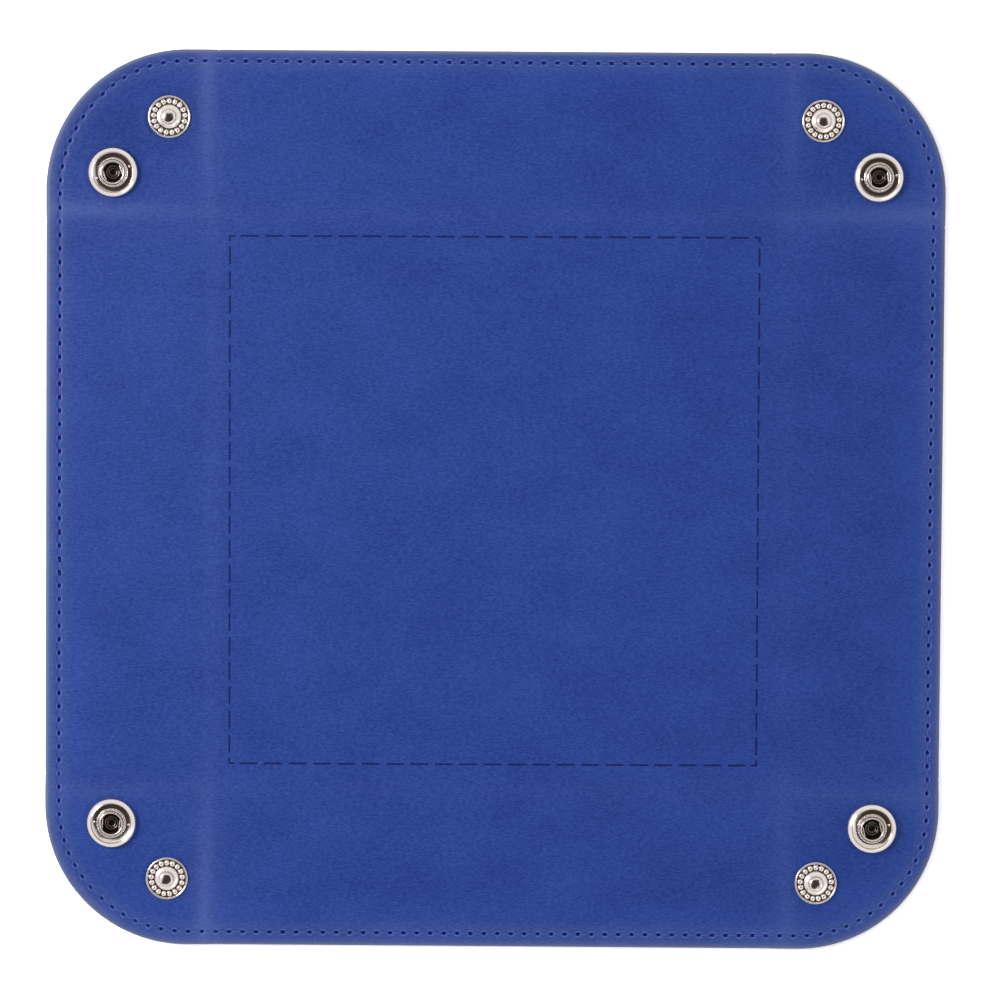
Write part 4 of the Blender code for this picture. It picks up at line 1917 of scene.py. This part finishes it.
@dataclass(frozen=True)
class BeadRing:
    """A ring of domed beads on a press stud part. Sizes in millimetres.

    Attributes:
        kind: The piece's name, before its corner's.
        count: Beads in the ring.
        radius: The ring's radius.
        size: A bead's length outwards, width and height.
        height: Height of the beads' middle above the part's foot.
    """

    kind: str
    count: int
    radius: float
    size: Triple
    height: float

    def build(
        self, recipe: Recipe, corner: Corner, flap: Flap, start: float, material: bpy.types.Material
    ) -> None:
        """Set the ring on the corner's stud or socket.

        Args:
            recipe: The bead recipe.
            corner: The part's corner.
            flap: The flap that carries the part.
            start: Direction of the first bead, as an angle.
            material: The beads' finish.
        """
        centre = node_centre(f"{flap.name.lower()}_{corner.label}") + UP * (self.height * MM)
        values = {"Count": self.count, "Ring Radius": self.radius * MM, "Start": start}
        values |= {"Bead Size": tuple(part * MM for part in self.size), "Finish": material}
        piece = recipe.make(f"{self.kind}_{corner.label}", [centre], [Vector()], values)
        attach(settle(piece, "nickel"), flap.label(corner))


@dataclass
class StudSnap:
    """A stud with its ring of pearls, and the eyelet that holds it.

    Attributes:
        nickel: The finish.
        beads: The bead recipe.
        pearls: The ring of pearls.
    """

    nickel: bpy.types.Material
    beads: Recipe
    pearls: BeadRing = BeadRing("stud_pearls", 17, 4.0, (1.46, 1.3, 1.0), 0.33)

    # Radii and heights in millimetres
    STUD = (
        (1.42, 0), (5.3, 0), *arc((5.18, 0.2), 0.22, -60, 0, 3), *arc((5.15, 0.4), 0.25, 0, 180, 8),
        (4.88, 0.33), (4.8, 0.33), (3.12, 0.33), (3.05, 0.33), *arc((2.62, 0.42), 0.34, -10, 80, 6),
        (2.4, 0.84), (2.05, 1.05), (1.78, 1.35), (1.62, 1.8), *arc((1.38, 2.35), 0.42, -25, 60, 6),
        (1.46, 2.76), (1.42, 2.7),
    )
    EYELET = (
        (0, 4.6), (0.95, 4.5), (0.95, 0.16), (1.1, 0.05), (1.4, 0), (2.6, 0.01), (3.7, 0.05),
        (4.3, 0.1), *arc((4.58, 0.45), 0.42, -65, 70, 8), (4.3, 0.8), (1.25, 0.8), (1.25, 5.86),
        (1.5, 5.9), (1.56, 5.94), (1.53, 5.98), (1.42, 6.02), (1.25, 6.06), (1.0, 6.11),
        (0.75, 6.15), (0.5, 6.18), (0.25, 6.195), (0, 6.2),
    )

    @staticmethod
    def stud_recess(radius: float, height: float) -> float:
        """Painted shade lies in the pan among the pearls, and thinly on the head's flank."""
        flank = in_span(radius, 1.55, 2.3) * in_span(height, 0.8, 2.0) * 0.3
        return in_span(radius, 3.0, 4.95) * in_span(height, 0.2, 0.4) * 0.4 + flank

    @staticmethod
    def eyelet_recess(radius: float, height: float) -> float:
        """Painted shade lies inside the eyelet's bore."""
        return in_span(radius, 0, 1.05) * in_span(height, 0.3, 4.7)

    def build(self, corner: Corner) -> None:
        """Build a corner's stud, eyelet and pearls.

        Args:
            corner: The corner.
        """
        body = Flap.STUD.label(corner)
        TurnedPart("stud", self.STUD, self.stud_recess, 96).build(corner, body, self.nickel)
        TurnedPart("eyelet", self.EYELET, self.eyelet_recess, 64).build(corner, body, self.nickel)
        self.pearls.build(self.beads, corner, Flap.STUD, math.pi / 2, self.nickel)


@dataclass
class SocketSnap:
    """A socket with its knurled collar, its spring wires and the cap that holds it. In millimetres.

    Attributes:
        nickel: The finish.
        wire: The spring's finish.
        beads: The bead recipe.
        knurl: The bumps round the collar.
        dots: The two dots in the pan.
        wire_radius: Half the wire's thickness.
        wire_place: From the socket's middle to each wire's middle.
        bend_radius: From there to the wire's bend, which lies hidden in the socket's groove.
        bend_start: From the middle along a wire to where it leaves its line for the bend.
        wire_height: Height of the wires above the socket's foot.
        leg: From the socket's middle to the end of a wire's leg.
    """

    nickel: bpy.types.Material
    wire: bpy.types.Material
    beads: Recipe
    knurl: BeadRing = BeadRing("collar_knurl", 52, 3.45, (0.46, 0.28, 0.38), 2.34)
    dots: BeadRing = BeadRing("pan_dots", 2, 4.42, (0.62, 0.62, 0.5), 1.2)
    wire_radius: float = 0.22
    wire_place: float = 2.27
    bend_radius: float = 2.69
    bend_start: float = 0.8
    wire_height: float = 2.0
    leg: float = 1.65

    # Radii and heights in millimetres
    SOCKET = (
        (1.75, 0), (6.05, 0), (6.2, 0.3), (6.3, 0.7), (6.35, 1.0), (6.31, 1.2), (6.2, 1.4),
        (6.02, 1.6), (5.8, 1.77), (5.55, 1.91), (5.38, 2.0), (5.27, 2.06), (5.2, 2.08), (5.14, 2.05),
        (5.11, 1.95), (5.1, 1.72), (5.08, 1.42), (5.02, 1.35), (4.95, 1.33),
        (3.82, 1.16), (3.75, 1.16), (3.68, 1.25), (3.64, 2.0),
        *arc((3.44, 2.22), 0.2, 0, 90, 4), (3.25, 2.36), (3.17, 2.3), (3.1, 2.34), (3.09, 2.6),
        *arc((2.91, 2.7), 0.18, 10, 90, 4), (2.78, 2.86), (2.66, 2.72), (2.58, 2.55), (2.56, 2.42),
        (2.95, 2.4), (2.95, 1.6), (2.56, 1.58), (2.5, 0.42), (1.75, 0.4),
    )
    CAP = (
        (0, 0), (1.5, 0.01), (3, 0.05), (4.4, 0.11), (5.3, 0.18), (5.7, 0.25),
        *arc((5.83, 0.52), 0.42, -60, 50, 7), (5.4, 0.8), (1.6, 0.8),
        (1.6, 3.6), *arc((1.75, 3.72), 0.2, -90, 90, 5), *arc((1.6, 3.72), 0.2, 90, 180, 4),
        (1.3, 3.5), (1.15, 3.28), (0.8, 3.2), (0, 3.2),
    )
    # How each pan is out of true: pressed up towards an angle in degrees, how steeply, and all round
    PAN_TILTS = {
        Corner.BACK_LEFT: (170, 0.12, -0.05),
        Corner.BACK_RIGHT: (0, 0.02, -0.08),
        Corner.FRONT_LEFT: (-120, 0.13, 0.0),
        Corner.FRONT_RIGHT: (-105, 0.15, 0.01),
    }
    # How far each socket was turned when it was pressed in, in degrees
    TURNS = {Corner.BACK_LEFT: 20, Corner.BACK_RIGHT: 7, Corner.FRONT_LEFT: -5, Corner.FRONT_RIGHT: 13}

    @staticmethod
    def pan_warp(corner: Corner, radius: float, height: float, angle: float) -> float:
        """How much a point of the socket's pan is raised, by its radius, height and direction.

        Args:
            corner: The socket's corner.
            radius: From its axis.
            height: Above its foot.
            angle: Round its axis.

        Returns:
            The rise, in millimetres.
        """
        towards, steepness, level = SocketSnap.PAN_TILTS[corner]
        within = in_span(radius, 3.7, 5.09) * in_span(height, 1.1, 1.5)
        return within * (radius - 3.8) * (steepness * math.cos(angle - math.radians(towards)) + level)

    @staticmethod
    def socket_recess(radius: float, height: float) -> float:
        """Painted shade lies in the pan, between the collar's rings and down the bore.

        Args:
            radius: From the socket's axis.
            height: Above its foot.

        Returns:
            The painted shade.
        """
        pan = in_span(radius, 3.7, 5.09) * in_span(height, 1, 1.5) * 0.3
        groove = in_span(radius, 3.09, 3.2) * in_span(height, 2.2, 2.35)
        knurl = in_span(radius, 3.24, 3.7) * in_span(height, 1.9, 2.43) * 0.6
        bore = in_span(radius, 0, 2.96) * in_span(height, 0.3, 2.41) * 1.2
        return max(pan, groove, knurl, bore)

    @staticmethod
    def cap_recess(radius: float, height: float) -> float:
        """Painted shade lies on the end of the post, most in its hollow."""
        return in_span(height, 3.1, 3.55) * 1.2 + in_span(height, 3.56, 4) * 0.85

    def build(self, corner: Corner) -> None:
        """Build a corner's socket, cap, collar, dots and wires.

        Args:
            corner: The corner.
        """
        body = Flap.SOCKET.label(corner)
        warp = partial(self.pan_warp, corner)
        socket = TurnedPart("socket", self.SOCKET, self.socket_recess, 112, warp)
        socket.build(corner, body, self.nickel)
        TurnedPart("cap_rivet", self.CAP, self.cap_recess, 72).build(corner, body, self.nickel)
        turn = math.radians(self.TURNS[corner])
        for ring in (self.knurl, self.dots):
            ring.build(self.beads, corner, Flap.SOCKET, turn, self.nickel)
        self.build_wires(corner, body, turn)

    def build_wires(self, corner: Corner, body: str, turn: float) -> None:
        """The spring: one hairpin of wire, whose legs show as two wires across the bore.

        Args:
            corner: The corner.
            body: The body that carries the socket.
            turn: How far the socket was turned.
        """
        half, leg = self.wire_place, self.leg
        start = math.degrees(math.acos((half + 0.12) / self.bend_radius))
        shank = [(half, y) for y in (-leg, -leg / 2, 0, self.bend_start)]
        other = [(-x, y) for x, y in reversed(shank)]
        route = [*shank, *arc((0, 0), self.bend_radius, start, 180 - start, 16), *other]
        curve = bpy.data.curves.new("spring", "CURVE")
        curve.dimensions = "3D"
        curve.bevel_depth = self.wire_radius * MM
        curve.bevel_resolution = 3
        curve.use_fill_caps = True
        line = curve.splines.new("POLY")
        line.points.add(len(route) - 1)
        for point, (x, y) in zip(line.points, route):
            point.co = (x * MM, y * MM, self.wire_height * MM, 1)
        name = f"spring_wires_{corner.label}"
        carrier = bpy.data.objects.new(name, curve)
        mesh = bpy.data.meshes.new_from_object(carrier)
        bpy.data.objects.remove(carrier)
        seat = node_centre(f"socket_{corner.label}")
        mesh.transform(Matrix.Translation(seat) @ Matrix.Rotation(turn, 4, "Z"))
        mesh.shade_smooth()
        mesh.materials.append(self.wire)
        piece = settle(link(name, mesh), "spring_wire", f"socket_spring_{corner.label}")
        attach(piece, body)


# The studio


@dataclass(frozen=True)
class SoftLight:
    """A soft square light that faces the tray, with its side in metres and its power in watts."""

    name: str
    place: Triple
    side: float
    power: float

    def build(self) -> None:
        """Set the light up."""
        data = bpy.data.lights.new(self.name, "AREA")
        data.size = self.side
        data.energy = self.power
        lamp = bpy.data.objects.new(self.name, data)
        bpy.context.scene.collection.objects.link(lamp)
        lamp.location = self.place
        lamp.rotation_euler = (-Vector(self.place)).to_track_quat("-Z", "Y").to_euler()


@dataclass
class Studio:
    """A white table, a light tent that is open overhead, a soft key light, and the camera.

    Attributes:
        tent: Brightness of the tent's walls.
        shine: Extra brightness of the tent's walls in reflections.
        opening: Colour of the dark opening overhead.
        opening_middle: Its half width, as a direction's sideways part.
        opening_taper: How much narrower it gets towards the back.
        opening_ends: Where it ends at the front and at the back.
        opening_blur: Half the width of its soft edge.
        lights: The lamps.
        table_side: Side of the table top.
        table_drop: How far it lies below the tray, so that the two never share a face.
        table_level: Its brightness.
        table_seen: How much brighter it is to the camera.
        table_shine: How much brighter it is in reflections.
        camera_place: The camera's place.
        camera_turn: How far it is turned from looking straight down, about the X, Y and Z axes.
        lens: Its focal length in millimetres.
        sensor: Its sensor's width in millimetres.
    """

    tent: float = 0.78
    shine: float = 0.2
    opening: Triple = (0.05, 0.036, 0.03)
    opening_middle: float = 0.36
    opening_taper: float = 0.28
    opening_ends: tuple[float, float] = (-0.52, 0.32)
    opening_blur: float = 0.03
    lights: tuple[SoftLight, ...] = (
        SoftLight("key_light", (-0.5, 0.14, 0.52), 0.28, 2.75),
        SoftLight("fill_light", (0.6, -0.7, 0.9), 0.9, 1.4),
    )
    table_side: float = 6.0
    table_drop: float = 0.02 * MM
    table_level: float = 0.8
    table_seen: float = 1.1
    table_shine: float = 0.2
    camera_place: Triple = (0.00817, 0.06254, 1.2)
    camera_turn: Triple = (-0.0519, 0.00547, 0.00714)
    lens: float = 169.13
    sensor: float = 36

    def build(self) -> None:
        """Set the scene up."""
        self.build_world()
        self.build_table()
        for light in self.lights:
            light.build()
        self.build_camera()
        bpy.context.scene.view_settings.view_transform = "Standard"

    @staticmethod
    def seen_by(tree: NodeTree, ray: str) -> Wire:
        """1 for what a kind of ray meets and 0 for the rest."""
        return tree.node("ShaderNodeLightPath", output=f"Is {ray} Ray")

    def build_world(self) -> None:
        """A bright tent with a dark opening straight overhead, and white where the camera sees it."""
        world = bpy.data.worlds.new("light_tent")
        bpy.context.scene.world = world
        world.use_nodes = True
        tree = NodeTree(world.node_tree)
        x, y, z = tree.split(tree.node("ShaderNodeTexCoord", output="Generated"))
        front, back = self.opening_ends
        sideways = abs(x) + y * self.opening_taper - self.opening_middle
        beyond = sideways.maximum(abs(y - (front + back) / 2) - (back - front) / 2)
        overhead = beyond.step(self.opening_blur, -self.opening_blur) * z.step(0, 0.1)
        tent = tree.grey(self.seen_by(tree, "Glossy") * self.shine + self.tent)
        colour = tree.mix(overhead, tent, self.opening)
        colour = tree.mix(self.seen_by(tree, "Camera"), colour, (1, 1, 1))
        tree.feed(world.node_tree.nodes["Background"].inputs["Color"], colour)

    def build_table(self) -> None:
        """The white table top, which keeps the tray's shadow."""
        half = self.table_side / 2
        mesh = bpy.data.meshes.new("table_top")
        corners = [(-half, -half, 0), (half, -half, 0), (half, half, 0), (-half, half, 0)]
        mesh.from_pydata(corners, [], [(0, 1, 2, 3)])
        material = bpy.data.materials.new("white_table")
        material.use_nodes = True
        material.node_tree.nodes.clear()
        tree = NodeTree(material.node_tree)
        seen = self.seen_by(tree, "Camera") * self.table_seen
        mirrored = self.seen_by(tree, "Glossy").maximum(self.seen_by(tree, "Transmission"))
        level = seen + mirrored * self.table_shine + self.table_level
        surface = tree.node("ShaderNodeBsdfDiffuse", None, {"Color": tree.grey(level)})
        output = material.node_tree.nodes.new("ShaderNodeOutputMaterial")
        tree.feed(output.inputs["Surface"], surface)
        mesh.materials.append(material)
        table = link("table_top", mesh)
        table.location.z = -self.table_drop

    def build_camera(self) -> None:
        """The camera, almost straight above the tray."""
        data = bpy.data.cameras.new("camera")
        data.lens = self.lens
        data.sensor_width = self.sensor
        camera = bpy.data.objects.new("camera", data)
        bpy.context.scene.collection.objects.link(camera)
        camera.location = self.camera_place
        x, y, z = (Matrix.Rotation(turn, 4, axis) for turn, axis in zip(self.camera_turn, "XYZ"))
        camera.rotation_euler = (x @ y @ z).to_euler()
        bpy.context.scene.camera = camera


def snap_rings() -> tuple[Triple, ...]:
    """Centre and radius of each stud and socket, from the frame.

    Returns:
        For each part, the x and y of its centre, and its radius.
    """
    rings = []
    for kind in ("stud", "socket"):
        for corner in Corner:
            low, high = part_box(f"{kind}_{corner.label}")
            rings.append(((low.x + high.x) / 2, (low.y + high.y) / 2, (high.x - low.x) / 2))
    return tuple(rings)


def main() -> None:
    """Build the tray's looks and the studio."""
    logging.basicConfig(level=logging.INFO, format="%(name)s: %(message)s")
    plan = SheetPlan.from_frame()
    row = StitchLine(plan)
    relief = Relief(plan, row, snap_rings())
    Studio().build()
    LeatherSheet(plan, row, relief, LeatherFinish().build(row, relief)).build()
    Stitching(plan, row, relief, ThreadFinish().build(), StitchRecipe()).build()
    DashedSquare(plan, InkFinish().build()).build()
    nickel = NickelFinish().build()
    wire = NickelFinish("spring_wire", (0.8, 0.77, 0.73), roughness=0.24).build()
    beads = BeadRecipe()
    for corner in Corner:
        StudSnap(nickel, beads).build(corner)
        SocketSnap(nickel, wire, beads).build(corner)


if __name__ == "__main__":
    main()
